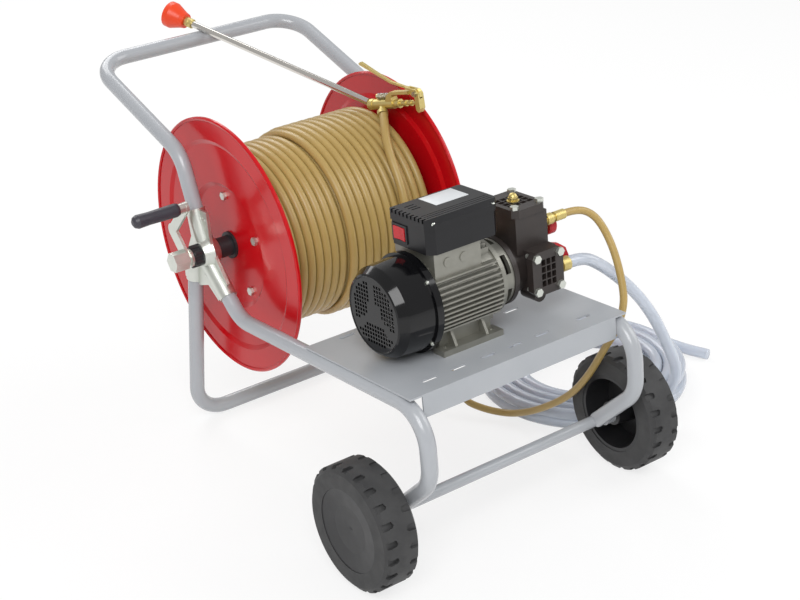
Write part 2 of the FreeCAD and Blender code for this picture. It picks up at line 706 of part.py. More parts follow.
fins(fin_line, 5, False)
pad(motor, fin_line, stator_length - shield_thickness - 3)
fin_line = new_sketch(motor, "YZ_Plane", stator_start + shield_thickness)
fins(fin_line, 4, True)
pad(motor, fin_line, stator_length - shield_thickness - 3)
foot_start = stator_start + 17.0
foot_end = stator_end - 4.0
rail_width = 28.0
feet = new_sketch(motor, "XY_Plane", -shaft_height)
for sign in (-1, 1):
    near = sign * foot_half_span
    far = sign * (foot_half_span - rail_width)
    outline(feet, [(foot_start, near), (foot_end, near), (foot_end, far), (foot_start, far)])
pad(motor, feet, foot_thickness, "Sizes.foot_thickness")
pedestal = new_sketch(motor, "XY_Plane", -shaft_height + 2)
pedestal_half = foot_half_span - rail_width + 6
outline(pedestal, [(foot_start + 8, -pedestal_half), (foot_end - 8, -pedestal_half),
                   (foot_end - 8, pedestal_half), (foot_start + 8, pedestal_half)])
pad(motor, pedestal, shaft_height - stator_radius + 18)
for x in (foot_start + 26, foot_end - 32):
    web = new_sketch(motor, "YZ_Plane", x)
    outline(web, [(-foot_half_span + 3, -shaft_height + foot_thickness - 1),
                  (-28, -shaft_height + foot_thickness - 1),
                  (-28, -46), (-44, -46)])
    outline(web, [(foot_half_span - 3, -shaft_height + foot_thickness - 1),
                  (28, -shaft_height + foot_thickness - 1),
                  (28, -46), (44, -46)])
    pad(motor, web, 5)
box_seat = shaft_height + 3.0
seat_half = 50.0
terminal = new_sketch(motor, "XY_Plane", stator_radius - 22)
outline(terminal, [(stator_start + 20, -seat_half), (stator_end - 30, -seat_half),
                   (stator_end - 30, seat_half),
                   (stator_start + 20, seat_half)])
pad(motor, terminal, box_seat - stator_radius + 22)
knockouts = new_sketch(motor, "XZ_Plane", seat_half)
for x in (stator_start + 46, stator_start + 78):
    ring(knockouts, x, box_seat - 19, 8)
pad(motor, knockouts, 1.5)
foot_holes = new_sketch(motor, "XY_Plane", -shaft_height)
foot_bolt_radius = size("foot_bolt_radius", 4.0)
for x in foot_bolt_x:
    for sign in (-1, 1):
        ring(foot_holes, x, sign * foot_bolt_y, foot_bolt_radius, "Sizes.foot_bolt_radius")
pocket(motor, foot_holes, foot_thickness, back=True)

foot_bolts = []
bolt_reach = foot_thickness + deck_sheet - 3
for x in foot_bolt_x:
    for sign in (-1, 1):
        bolt = hex_bolt(0, 0, 0, foot_bolt_radius, bolt_reach)
        bolt.Placement = Placement(Vector(x, sign * foot_bolt_y, -shaft_height - deck_sheet),
                                   Rotation(Vector(0, 1, 0), -90))
        foot_bolts.append(bolt)
shape_node("motor_bolts", foot_bolts, motor_at)

flange = turned("motor_flange", [(stator_end, rotor_bore), (stator_end, stator_radius + 3),
                                 (stator_end + 8, stator_radius + 3), (stator_end + 10, 56), (pump_start, 56),
                                 (pump_start, 48), (stator_end + 11, 46), (stator_end + 11, rotor_bore)],
                                 motor_at)
window = new_sketch(flange, "XY_Plane")
outline(window, [(stator_end + 13, -16), (pump_start - 5, -16), (pump_start - 5, 16), (stator_end + 13, 16)])
opening = pocket(flange, window, 60)
around_x(flange, opening, 6)

cover_end = stator_start - cover_length + shield_thickness
collar = stator_start - 4
inner_collar = cover_radius - cover_wall
cover = turned("fan_cover", [(cover_end, 0), (cover_end, 61), (cover_end - 1.5, 63), (cover_end, 66),
                             (cover_end + 13, 75), (collar, 78), (collar, cover_radius),
                             (stator_start + shield_thickness, cover_radius),
                             (stator_start + shield_thickness, inner_collar),
                             (collar + cover_wall, inner_collar),
                             (collar + cover_wall, 76), (cover_end + 14, 73), (cover_end + 2, 64),
                             (cover_end + cover_wall, 60), (cover_end + cover_wall, 0)], motor_at)
grille_side = size("grille_side", 4.8)
grille_pitch = size("grille_pitch", 6.9)
grille_inner = 20.0
grille_outer = 57.0
spoke_half = 4.5
holes = new_sketch(cover, "YZ_Plane", cover_end - 1)
spokes = [math.radians(angle) for angle in (90, 210, 330)]
for column in range(-8, 9):
    for line in range(-8, 9):
        y = column * grille_pitch
        z = line * grille_pitch
        away = math.hypot(y, z)
        on_spoke = any(abs(y * math.sin(a) - z * math.cos(a)) < spoke_half + grille_side / 2
                       and y * math.cos(a) + z * math.sin(a) > 0 for a in spokes)
        if grille_inner < away < grille_outer - grille_side / 2 and not on_spoke:
            low_y, low_z = y - grille_side / 2, z - grille_side / 2
            square = [Vector(low_y, low_z, 0), Vector(low_y + grille_side, low_z, 0),
                      Vector(low_y + grille_side, low_z + grille_side, 0),
                      Vector(low_y, low_z + grille_side, 0)]
            for start, end in zip(square, square[1:] + square[:1]):
                holes.addGeometry(Part.LineSegment(start, end))
pocket(cover, holes, cover_wall + 2, back=True)

fan_start = cover_end + 18
turned("motor_shaft", [(fan_start - 4, 0), (fan_start - 4, rotor_radius), (pump_start + 34, rotor_radius),
                       (pump_start + 34, 0)], motor_at)
fan = turned("motor_fan", [(fan_start, rotor_radius), (fan_start, 20), (fan_start + 20, 22),
                           (fan_start + 20, 60), (fan_start + 22, 60), (fan_start + 22, rotor_radius)],
                           motor_at)
blade = new_sketch(fan, "YZ_Plane", fan_start + 2)
outline(blade, [(-1.2, 18), (1.2, 18), (1.2, 59), (-1.2, 59)])
blades = pad(fan, blade, 19)
around_x(fan, blades, 8)

# ---- switch box ---------------------------------------------------------------------------
box_y = -1.0
box_start = stator_start + 11.5
lid_over = 1.5


def box_outline(over):
    half = box_width / 2 + over
    cut = 12.0
    left = box_start - over
    right = box_start + box_length + over
    return [(left + cut, box_y - half), (right - cut, box_y - half), (right, box_y - half + cut),
            (right, box_y + half - cut), (right - cut, box_y + half), (left + cut, box_y + half),
            (left, box_y + half - cut), (left, box_y - half + cut)]


box = new_body("switch_box", motor_at)
sketch = new_sketch(box, "XY_Plane", box_seat)
outline(sketch, box_outline(0))
pad(box, sketch, box_height, "Sizes.box_height")
rocker_y = box_y + 22.0
rocker_z = box_seat + 0.53 * box_height
rocker_width = size("rocker_width", 28.0)
rocker_height = size("rocker_height", 21.0)
well = new_sketch(box, "YZ_Plane", box_start)
half_well = rocker_width / 2 + 1
half_rise = rocker_height / 2 + 1
outline(well, [(rocker_y - half_well, rocker_z - half_rise), (rocker_y + half_well, rocker_z - half_rise),
               (rocker_y + half_well, rocker_z + half_rise), (rocker_y - half_well, rocker_z + half_rise)])
pocket(box, well, 14, back=True)
rocker_in = 4.0
rocker_pin_radius = size("rocker_pin_radius", 1.5)
pin_end = half_rise + 1
pin = new_sketch(box, "XY_Plane", rocker_z - pin_end)
ring(pin, box_start + rocker_in, rocker_y, rocker_pin_radius, "Sizes.rocker_pin_radius")
pad(box, pin, 2 * pin_end)
bezel = new_body("switch_bezel", motor_at)
sketch = new_sketch(bezel, "YZ_Plane", box_start - 2)
rim = 3.5
outline(sketch, [(rocker_y - half_well - rim, rocker_z - half_rise - rim),
                 (rocker_y + half_well + rim, rocker_z - half_rise - rim),
                 (rocker_y + half_well + rim, rocker_z + half_rise + rim),
                 (rocker_y - half_well - rim, rocker_z + half_rise + rim)])
outline(sketch, [(rocker_y - half_well, rocker_z - half_rise), (rocker_y + half_well, rocker_z - half_rise),
                 (rocker_y + half_well, rocker_z + half_rise), (rocker_y - half_well, rocker_z + half_rise)])
pad(bezel, sketch, 2)
rocker_at = motor_at.multiply(Placement(Vector(box_start + rocker_in, rocker_y, rocker_z), Rotation()))
rocker = new_body("switch_rocker", rocker_at)
sketch = new_sketch(rocker, "XY_Plane")
half = rocker_width / 2
outline(sketch, [(-7, -half), (-5.5, 0), (-7, half), (0, half - 1), (6, 4), (6, -4), (0, -half + 1)])
ring(sketch, 0, 0, rocker_pin_radius + running_gap)
pad(rocker, sketch, rocker_height, "Sizes.rocker_height", both=True)

lid = new_body("switch_lid", motor_at)
sketch = new_sketch(lid, "XY_Plane", box_seat + box_height)
outline(sketch, box_outline(lid_over))
pad(lid, sketch, lid_height, "Sizes.lid_height")
crown = new_sketch(lid, "YZ_Plane", box_start - lid_over - 1)
lid_top = box_seat + box_height + lid_height
lid_half = box_width / 2 + lid_over
for sign in (-1, 1):
    edge = box_y + sign * lid_half
    outline(crown, [(edge - sign * 9, lid_top), (edge + sign, lid_top), (edge + sign, lid_top - 8),
                    (edge, lid_top - 8)])
pocket(lid, crown, box_length + 2 * lid_over + 2, back=True)
grooves = new_sketch(lid, "XY_Plane", lid_top)
for number in range(3):
    y = box_y - lid_half + 14 + 7.0 * number
    outline(grooves, [(box_start + 8, y), (box_start + box_length - 4, y),
                      (box_start + box_length - 4, y + 1.6),
                      (box_start + 8, y + 1.6)])
for number in range(3):
    y = box_y + 8 + 9.0 * number
    outline(grooves, [(box_start + 16, y), (box_start + 34, y), (box_start + 34, y + 2.5),
                      (box_start + 16, y + 2.5)])
pocket(lid, grooves, 1.2)
notches = new_sketch(lid, "XY_Plane", lid_top)
for number in range(9):
    y = box_y - 43 + 9.8 * number
    outline(notches, [(box_start - 3, y), (box_start + 5, y), (box_start + 5, y + 4), (box_start - 3, y + 4)])
pocket(lid, notches, 6)

# ---- pump -----------------------------------------------------------------------------------
pump = turned("pump_body", [(pump_start, rotor_bore), (pump_start, 58), (pump_start + 9, 58),
                            (pump_start + 9, 50), (pump_start + 16, 46), (pump_end, 44), (pump_end, 0),
                            (pump_start + 36, 0), (pump_start + 36, rotor_bore)], motor_at)
head_x = pump_start + 59.0
front_seat = size("front_seat", 56.0)
top_seat = size("top_seat", 92.0)
front = new_sketch(pump, "XZ_Plane", 30)
outline(front, [(head_x - 24, -36), (pump_end, -36), (pump_end, 36), (head_x - 24, 36)])
pad(pump, front, front_seat - 30)
top = new_sketch(pump, "XY_Plane", 28)
outline(top, [(pump_start + 22, -39), (pump_end, -39), (pump_end, 42), (pump_start + 22, 42)])
pad(pump, top, top_seat - 28)
drain = new_sketch(pump, "XZ_Plane", 20)
ring(drain, head_x - 8, -42, 12)
pad(pump, drain, front_seat - 20)


def waffle(sketch, left, low, width, height, columns, rows, rib):
    pitch_u = (width - rib) / columns
    pitch_v = (height - rib) / rows
    for column in range(columns):
        for row in range(rows):
            u = left + rib + column * pitch_u
            v = low + rib + row * pitch_v
            outline(sketch, [(u, v), (u + pitch_u - rib, v), (u + pitch_u - rib, v + pitch_v - rib),
                             (u, v + pitch_v - rib)])


def head_outline(x, y, half_x, half_y, cut):
    return [(x - half_x + cut, y - half_y), (x + half_x - cut, y - half_y), (x + half_x, y - half_y + cut),
            (x + half_x, y + half_y - cut), (x + half_x - cut, y + half_y), (x - half_x + cut, y + half_y),
            (x - half_x, y + half_y - cut), (x - half_x, y - half_y + cut)]


def corners(x, y, half_x, half_y):
    return [(x + sign_x * half_x, y + sign_y * half_y) for sign_x in (-1, 1) for sign_y in (-1, 1)]


# Holes that the head bolts pass through or thread into.
def bolt_seats(body, plane, level, places, depth):
    sketch = new_sketch(body, plane, level)
    for x, y in places:
        ring(sketch, x, y, head_bolt_radius, "Sizes.head_bolt_radius")
    pocket(body, sketch, depth)


head_thickness = size("head_thickness", 14.0)
head_bolt_radius = size("head_bolt_radius", 4.0)
thread_depth = size("thread_depth", 8.0)
head = new_body("pump_head_front", motor_at)
sketch = new_sketch(head, "XZ_Plane", front_seat)
outline(sketch, head_outline(head_x, 0, head_bolt_x / 2 + 8, head_bolt_z / 2 + 9, 9))
pad(head, sketch, head_thickness, "Sizes.head_thickness")
grid = new_sketch(head, "XZ_Plane", front_seat + head_thickness)
waffle(grid, head_x - 16, -25, 34, 50, 3, 4, 2)
pocket(head, grid, head_thickness - 6)
front_bolts = corners(head_x, 0, head_bolt_x / 2, head_bolt_z / 2)
bolt_seats(head, "XZ_Plane", front_seat + head_thickness, front_bolts, head_thickness)
bolt_seats(pump, "XZ_Plane", front_seat, front_bolts, thread_depth + 1)
top_x = (pump_start + 18 + pump_end) / 2
top_y = 1.5
head = new_body("pump_head_top", motor_at)
sketch = new_sketch(head, "XY_Plane", top_seat)
outline(sketch, head_outline(top_x, top_y, 34, 44, 9))
pad(head, sketch, head_thickness, "Sizes.head_thickness")
grid = new_sketch(head, "XY_Plane", top_seat + head_thickness)
waffle(grid, top_x - 27, top_y - 24, 54, 48, 4, 4, 2)
pocket(head, grid, head_thickness - 6)
top_bolts = corners(top_x, top_y, 26, 34)
bolt_seats(head, "XY_Plane", top_seat + head_thickness, top_bolts, head_thickness)
bolt_seats(pump, "XY_Plane", top_seat, top_bolts, thread_depth + 1)

pump_bolts = []
for x, z in front_bolts:
    bolt = hex_bolt(0, 0, 0, head_bolt_radius, head_thickness + thread_depth)
    bolt.Placement = Placement(Vector(x, -front_seat - head_thickness, z), Rotation(Vector(0, 0, 1), 90))
    pump_bolts.append(bolt)
for x, y in top_bolts:
    bolt = hex_bolt(0, 0, 0, head_bolt_radius, head_thickness + thread_depth)
    bolt.Placement = Placement(Vector(x, y, top_seat + head_thickness), Rotation(Vector(0, 1, 0), 90))
    pump_bolts.append(bolt)
shape_node("pump_bolts", pump_bolts, motor_at)

regulator_at = motor_at.multiply(Placement(Vector(0, -3, 47), Rotation()))
side_face = pump_end
turned("regulator_body", [(side_face, 0), (side_face, 13), (side_face + 16, 13), (side_face + 18, 10),
                          (side_face + 23, 10), (side_face + 23, 5), (side_face + 36, 5),
                          (side_face + 36, 0)],
       regulator_at)
knob_start = side_face + 23 + side_gap
turned("regulator_knob", [(knob_start, 5 + running_gap), (knob_start, 15), (knob_start + 3, 16),
                          (knob_start + 14, 16), (knob_start + 17, 13), (knob_start + 17, 0),
                          (side_face + 37, 0), (side_face + 37, 5 + running_gap)], regulator_at)
valve_z = 14.0
valve = new_sketch(pump, "YZ_Plane", pump_end - 1)
ring(valve, -3, valve_z, 12)
pad(pump, valve, 24)
spindle = new_sketch(pump, "XZ_Plane", 10)
spindle_x = pump_end + 14
ring(spindle, spindle_x, valve_z, 5)
pad(pump, spindle, 13)
lever_at = motor_at.multiply(Placement(Vector(spindle_x, -3, valve_z), Rotation()))
lever = new_body("bypass_lever", lever_at)
sketch = new_sketch(lever, "XZ_Plane", 12.3)
outline(sketch, [(-9, 3), (-5, 8.5), (3, 9.5), (22, 4), (38, -8), (44, -24), (45, -44), (36, -44), (34, -26),
                 (28, -14), (14, -7), (5, -9), (-5, -8.5), (-9, -3)])
ring(sketch, 0, 0, 5 + running_gap)
pad(lever, sketch, 6)

outlet_at = motor_at.multiply(Placement(Vector(0, -29, 69), Rotation()))
outlet_end = side_face + 44
link_radius = link_diameter / 2
turned("outlet_fitting", [(side_face, 0), (side_face, 7), (side_face + 5, 7), (side_face + 5, 9.5),
                          (side_face + 17, 9.5), (side_face + 17, 6.5), (side_face + 23, 6.5),
                          (side_face + 23, link_radius + 2), (outlet_end, link_radius + 2), (outlet_end, 0)],
       outlet_at)
inlet_at = motor_at.multiply(Placement(Vector(0, -35, -15), Rotation()))
inlet_start = pump_end
inlet_end = inlet_start + 42
suction_radius = suction_diameter / 2
turned("inlet_fitting", [(inlet_start, 0), (inlet_start, 10), (inlet_start + 10, 10), (inlet_start + 10, 13),
                         (inlet_start + 20, 13), (inlet_start + 20, 8), (inlet_start + 26, 8),
                         (inlet_start + 26, suction_radius + 2), (inlet_end, suction_radius + 2),
                         (inlet_end, 0)],
       inlet_at)

# ---- swivel that feeds the reel ----------------------------------------------------------------
swivel_start = plate_outer + 1
swivel = turned("swivel", [(swivel_start, shaft_radius + running_gap), (swivel_start, 15),
                           (swivel_start + 4, 17),
                           (swivel_start + 14, 17), (swivel_start + 16, 14), (swivel_start + 40, 14),
                           (swivel_start + 42, 12), (swivel_start + 42, 0), (swivel_start + 21, 0),
                           (swivel_start + 21, shaft_radius + running_gap)], reel_at)
elbow = new_sketch(swivel, "XY_Plane", -44)
elbow_x = swivel_start + 30
ring(elbow, elbow_x, 0, link_radius + 2)
pad(swivel, elbow, 34)

# ---- spray gun ---------------------------------------------------------------------------------
lance_lift = size("lance_lift", 1.35)
winding_top = reel_height + winding_radius
joint_point = Vector(140, reel_y - 32.6, winding_top + 12.2)
bar_contact = Vector(8.5, handle_y, handle_height + tube_radius + lance_diameter / 2 + lance_lift)
rear_end = Vector(155, reel_y - 172.6, winding_top + 37.7)


def way(start, end):
    return end.sub(start).normalize()


def aligned(start, direction, upward):
    side = upward.cross(direction).normalize()
    above = direction.cross(side)
    return Placement(start, Rotation(direction, side, above, "XYZ"))


lance_axis = way(joint_point, bar_contact)
lance_length = bar_contact.distanceToPoint(joint_point) + 15
gun_axis = way(joint_point, rear_end)
lance_at = lean.multiply(aligned(joint_point, lance_axis, Vector(0, 0, 1)))
gun_at = lean.multiply(aligned(joint_point, gun_axis, Vector(0, 0, 1)))
lance_radius = lance_diameter / 2
lance_bore = size("lance_bore", 5.0)
collar_radius = size("collar_radius", 9.0)
nozzle_bore = size("nozzle_bore", 8.0)
turned("lance_tube", [(12, lance_bore), (12, lance_radius), (lance_length, lance_radius),
                      (lance_length, collar_radius), (lance_length + 16, collar_radius),
                      (lance_length + 16, nozzle_bore), (lance_length + 30, nozzle_bore),
                      (lance_length + 30, lance_bore)], lance_at)
nozzle_start = lance_length + 16 + side_gap
nozzle_end = lance_length + nozzle_length
nozzle_radius = size("nozzle_radius", 24.5)
turned("nozzle_cap", [(nozzle_start, nozzle_bore + running_gap), (nozzle_start, 14), (nozzle_start + 8, 16),
                      (nozzle_end - 10, nozzle_radius), (nozzle_end, nozzle_radius),
                      (nozzle_end, nozzle_radius - 3), (lance_length + 34, nozzle_bore + 2),
                      (lance_length + 34, 3), (lance_length + 30 + side_gap, 3),
                      (lance_length + 30 + side_gap, nozzle_bore + running_gap)], lance_at)

barrel_radius = size("barrel_radius", 9.0)
pivot_x = size("pivot_x", 121.0)
pivot_z = size("pivot_z", 16.5)
pin_radius = size("pin_radius", 2.5)
stem_end = pivot_x - 3.6
ear_start = pivot_x - 16.0
ear_width = 6.0
gun = new_body("gun_body", gun_at)
spin(gun, [(-8, 0), (-8, barrel_radius + 1), (4, barrel_radius + 1), (4, barrel_radius), (58, barrel_radius),
           (58, 6.5), (66, 6.5), (66, 8), (73, 8), (73, 4.5), (84, 4.5), (84, 5.5), (90, 5.5), (90, 3.5),
           (98, 3.5), (98, 5), (104, 5), (104, 3), (stem_end, 3), (stem_end, 0)])
casting = new_sketch(gun, "XZ_Plane")
outline(casting, [(40, 4), (46, 15), (56, pivot_z + 5.5), (pivot_x - 13, pivot_z + 5.5),
                  (pivot_x - 7, pivot_z + 8),
                  (pivot_x + 7, pivot_z + 8), (pivot_x + 9, pivot_z + 3.5), (pivot_x + 9, pivot_z - 6.5),
                  (pivot_x - 1, pivot_z - 8), (pivot_x - 11, pivot_z - 4.5), (pivot_x - 17, pivot_z + 0.5),
                  (62, pivot_z + 0.5), (58, 12), (58, 4)])
pad(gun, casting, gun_width, "Sizes.gun_width", both=True)
for sign in (-1, 1):
    cheek = new_sketch(gun, "XY_Plane", -20)
    outline(cheek, [(ear_start, sign * ear_width / 2), (pivot_x + 20, sign * ear_width / 2),
                    (pivot_x + 20, sign * 20), (ear_start, sign * 20)])
    pocket(gun, cheek, 80, back=True)
pin_hole = new_sketch(gun, "XZ_Plane", 20)
ring(pin_hole, pivot_x, pivot_z, pin_radius, "Sizes.pin_radius")
pocket(gun, pin_hole, 40)
spring_case = new_sketch(gun, "YZ_Plane", 14)
ring(spring_case, 0, barrel_radius + 5, 4.5)
pad(gun, spring_case, 40)

pivot_at = gun_at.multiply(Placement(Vector(pivot_x, 0, pivot_z), Rotation()))
pin = new_body("trigger_pin", pivot_at)
sketch = new_sketch(pin, "XZ_Plane")
ring(sketch, 0, 0, pin_radius, "Sizes.pin_radius")
pad(pin, sketch, gun_width - 1, both=True)
sketch = new_sketch(pin, "XZ_Plane", gun_width / 2 - 0.5)
ring(sketch, 0, 0, pin_radius + 2)
pad(pin, sketch, 2)
fork_width = gun_width - 2
trigger = new_body("trigger_lever", pivot_at)
sketch = new_sketch(trigger, "XZ_Plane")
outline(sketch, [(-22, 12.6), (4, 7), (9, 0), (7, -26), (1, -33), (-3.5, -28), (-2, -6), (-6, 1), (-12, 7.2),
                 (-22, 9.4)])
ring(sketch, 0, 0, pin_radius + running_gap)
pad(trigger, sketch, fork_width, both=True)
sketch = new_sketch(trigger, "XZ_Plane")
outline(sketch, [(-136, 59), (-131, 61), (-97, 42), (-62, 24), (-28, 13.9), (-18, 11.7), (-18, 8.9),
                 (-30, 11.2),
                 (-64, 21), (-99, 38.5), (-135, 56)])
trigger_width = size("trigger_width", 6.0)
pad(trigger, sketch, trigger_width, "Sizes.trigger_width", both=True)
fork = new_sketch(trigger, "XY_Plane", -9)
slot_half = ear_width / 2 + 0.2
outline(fork, [(-17, -slot_half), (20, -slot_half), (20, slot_half), (-17, slot_half)])
pocket(trigger, fork, 60, back=True)


# ---- hoses ---------------------------------------------------------------------------------------
def cord(label, points, diameter, placement=None):
    corners = [Vector(*point) for point in points]
    radii = []
    for before, corner, after in zip(corners, corners[1:], corners[2:]):
        inward = corner.sub(before)
        outward = after.sub(corner)
        turn = inward.getAngle(outward)
        radii.append(0.45 * min(inward.Length, outward.Length) / math.tan(turn / 2))
    line = bent_line(points, radii)
    tube = swept(line, diameter / 2)
    share = tube.Volume / (line.Length * math.pi * diameter ** 2 / 4)
    print(label, "length %.1f" % line.Length, "share %.4f" % share, "radii", [round(r) for r in radii])
    shape_node(label, [tube], placement or Placement())
    cord_nodes.append(label)


hose_radius = hose_diameter / 2
tail_root = joint_point.add(gun_axis * 22)
tail_axis = Vector(-0.507, -0.731, -0.457).normalize()
ferrule_length = 28.0
turned("gun_ferrule", [(barrel_radius, 0), (barrel_radius, 5.5), (ferrule_length - 8, 5.5),
                       (ferrule_length - 8, hose_radius + 2), (ferrule_length, hose_radius + 2),
                       (ferrule_length, 0)],
       lean.multiply(aligned(tail_root, tail_axis, Vector(0, 0, 1))))
tail_start = tail_root.add(tail_axis * ferrule_length)


def around_reel(x, angle, radius):
    turn = math.radians(angle)
    return (x, reel_y + radius * math.cos(turn), reel_height + radius * math.sin(turn))


tail_radius = winding_radius + hose_radius + 1.9
cord("gun_tail", [tuple(tail_start), tuple(tail_start.add(tail_axis * 31.0)), (99, 384, 551),
                  (92, 364.5, 527),
                  around_reel(89, 151.5, tail_radius), around_reel(87, 163.5, tail_radius),
                  around_reel(86, 175.5, tail_radius), around_reel(85, 187.5, tail_radius),
                  around_reel(84, 199, tail_radius)], hose_diameter, lean)

outlet_point = (outlet_end, motor_y - 29, motor_z + 69)
elbow_end = reel_height - 44
cord("link_hose", [outlet_point, (outlet_end + 31, outlet_point[1], outlet_point[2]), (250, 25, 462),
                   (260, 8, 432), (261, -12, 395), (257, -30, 350), (250, -40, 318), (243, -28, 272),
                   (238, -3, 235), (232, 33, 174), (228, 79, 121), (222, 133, 83), (218, 185, 54),
                   (218, 243, 30), (190, 280, 37), (168, 318, 52), (200, 400, 90), (245, 470, 200),
                   (elbow_x, reel_y, 320), (elbow_x, reel_y, elbow_end)], link_diameter, lean)

inlet_point = lean.multVec(Vector(inlet_end, motor_y - 35, motor_z - 15))
coil_turns = 3.5
coil_total = 7.653
coil_start = -115.0
floor_gap = 0.2
layer_gap = 0.6
coil_low = suction_radius + floor_gap
coil_high = coil_low + suction_diameter + layer_gap
coil_centre = Vector(428, 262, 0)


# The coil spirals in on its upper layer, drops half a turn long and spirals out on the floor.
def coil_point(turn):
    angle = math.radians(coil_start - 360 * turn)
    middle = coil_turns + 0.25
    radius = coil_radius - suction_pitch * (middle - abs(turn - middle))
    drop = min(max(2 * (turn - coil_turns), 0.0), 1.0)
    height = coil_high - (coil_high - coil_low) * drop
    return coil_centre.add(Vector(radius * math.cos(angle), radius * math.sin(angle), height))


coil_line = wound_tube(coil_point, coil_total, 0.25, suction_diameter)
print("suction_coil gap %.2f" % least_gap(coil_line, suction_diameter, 500))
shape_node("suction_coil", [swept(coil_line, suction_radius)], Placement())
cord_nodes.append("suction_coil")
coil_spots = [vertex.Point for vertex in coil_line.OrderedVertexes]
coil_finish = coil_spots[-1]
coil_way = way(coil_spots[-2], coil_finish)
coil_inlet = coil_spots[0].sub(way(coil_spots[0], coil_spots[1]) * 28)
cord("suction_hose", [tuple(inlet_point), tuple(inlet_point.add(Vector(31, 0, 0))), (255, 47, 372),
                      (296, 41, 336),
                      (340, 40, 290), (372, 40, 248), (398, 41, 207), (421, 42.5, 163), (442.4, 38.6, 115.8),
                      (441.5, 39, 87.8), (431.1, 43.8, 62.2), (412.9, 52.3, 42.8), tuple(coil_inlet),
                      tuple(coil_spots[0])], suction_diameter)
cord("suction_tail", [tuple(coil_finish), tuple(coil_finish.add(coil_way * 38)), (646, 201, coil_low),
                      (660, 164.5, coil_low)], suction_diameter)

# ---- checks, common origin and files ----------------------------------------------------------
doc.recompute()
failed = [item.Label for item in doc.Objects if "Invalid" in item.State or "Error" in item.State]
for item in doc.Objects:
    if item.TypeId == "PartDesign::Pocket" and item.Shape.Volume > item.BaseFeature.Shape.Volume - 1:
        failed.append(item.Label + " cuts nothing")
failed += [node.Label for node in nodes if node.Shape.isNull() or not node.Shape.isValid()]
if failed:
    raise RuntimeError("failed: " + ", ".join(failed))

# The origin is the middle of the trolley's outer box, without its hoses, on the floor.
whole = FreeCAD.BoundBox()
for node in nodes:
    if node.Label not in cord_nodes:
        whole.add(node.Shape.optimalBoundingBox(False, False))
move = Placement(Vector(-whole.Center.x, -whole.Center.y, -whole.ZMin), Rotation())
print("origin moved by", move.Base)
for node in nodes:
    node.Placement = move.multiply(node.Placement)
doc.recompute()

os.makedirs("parts", exist_ok=True)
for node in nodes:
    node.Shape.exportStep("parts/%s.step" % node.Label)
print(len(nodes), "nodes written")
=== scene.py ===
import math
import bmesh
import bpy
from mathutils import Euler, Matrix, Vector


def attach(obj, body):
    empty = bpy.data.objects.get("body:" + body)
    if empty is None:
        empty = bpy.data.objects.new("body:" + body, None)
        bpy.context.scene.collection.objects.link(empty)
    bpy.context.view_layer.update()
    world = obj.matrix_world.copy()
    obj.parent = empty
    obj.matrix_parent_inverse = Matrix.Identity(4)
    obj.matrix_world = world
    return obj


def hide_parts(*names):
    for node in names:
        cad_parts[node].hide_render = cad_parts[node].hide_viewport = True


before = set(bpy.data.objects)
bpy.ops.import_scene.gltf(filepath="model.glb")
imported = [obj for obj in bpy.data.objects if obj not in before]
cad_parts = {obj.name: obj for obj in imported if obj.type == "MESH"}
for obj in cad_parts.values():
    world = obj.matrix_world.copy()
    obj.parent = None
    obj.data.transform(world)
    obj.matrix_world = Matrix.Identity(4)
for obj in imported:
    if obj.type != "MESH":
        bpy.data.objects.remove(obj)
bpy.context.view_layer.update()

# The chassis leans back about the axle line, so its places are leaned before they are used.
chassis = {"lean": math.radians(-3.8954), "axleHeight": 0.105, "originX": 0.0229, "originY": -0.41944}
leanMatrix = (Matrix.Translation((chassis["originX"], chassis["originY"], chassis["axleHeight"]))
              @ Matrix.Rotation(chassis["lean"], 4, "X") @ Matrix.Translation((0, 0, -chassis["axleHeight"])))


def leaned(x, y, z):
    return leanMatrix @ Vector((x, y, z))


def onFloor(x, y, z):  # places given beside the parked trolley, from the axle's middle
    return Vector((x + chassis["originX"], y + chassis["originY"], z))


# sRGB hex to linear light.
def linear(hexColour):
    parts = [int(hexColour[i:i + 2], 16) / 255 for i in (1, 3, 5)]
    return [c / 12.92 if c <= 0.04045 else ((c + 0.055) / 1.055) ** 2.4 for c in parts] + [1.0]


def addNode(tree, kind, settings=None, links=None):
    node = tree.nodes.new(kind)
    for key, value in (settings or {}).items():
        if key in node.inputs:
            node.inputs[key].default_value = value
        else:
            setattr(node, key, value)
    for socket, source in (links or {}).items():
        tree.links.new(source, node.inputs[socket])
    return node


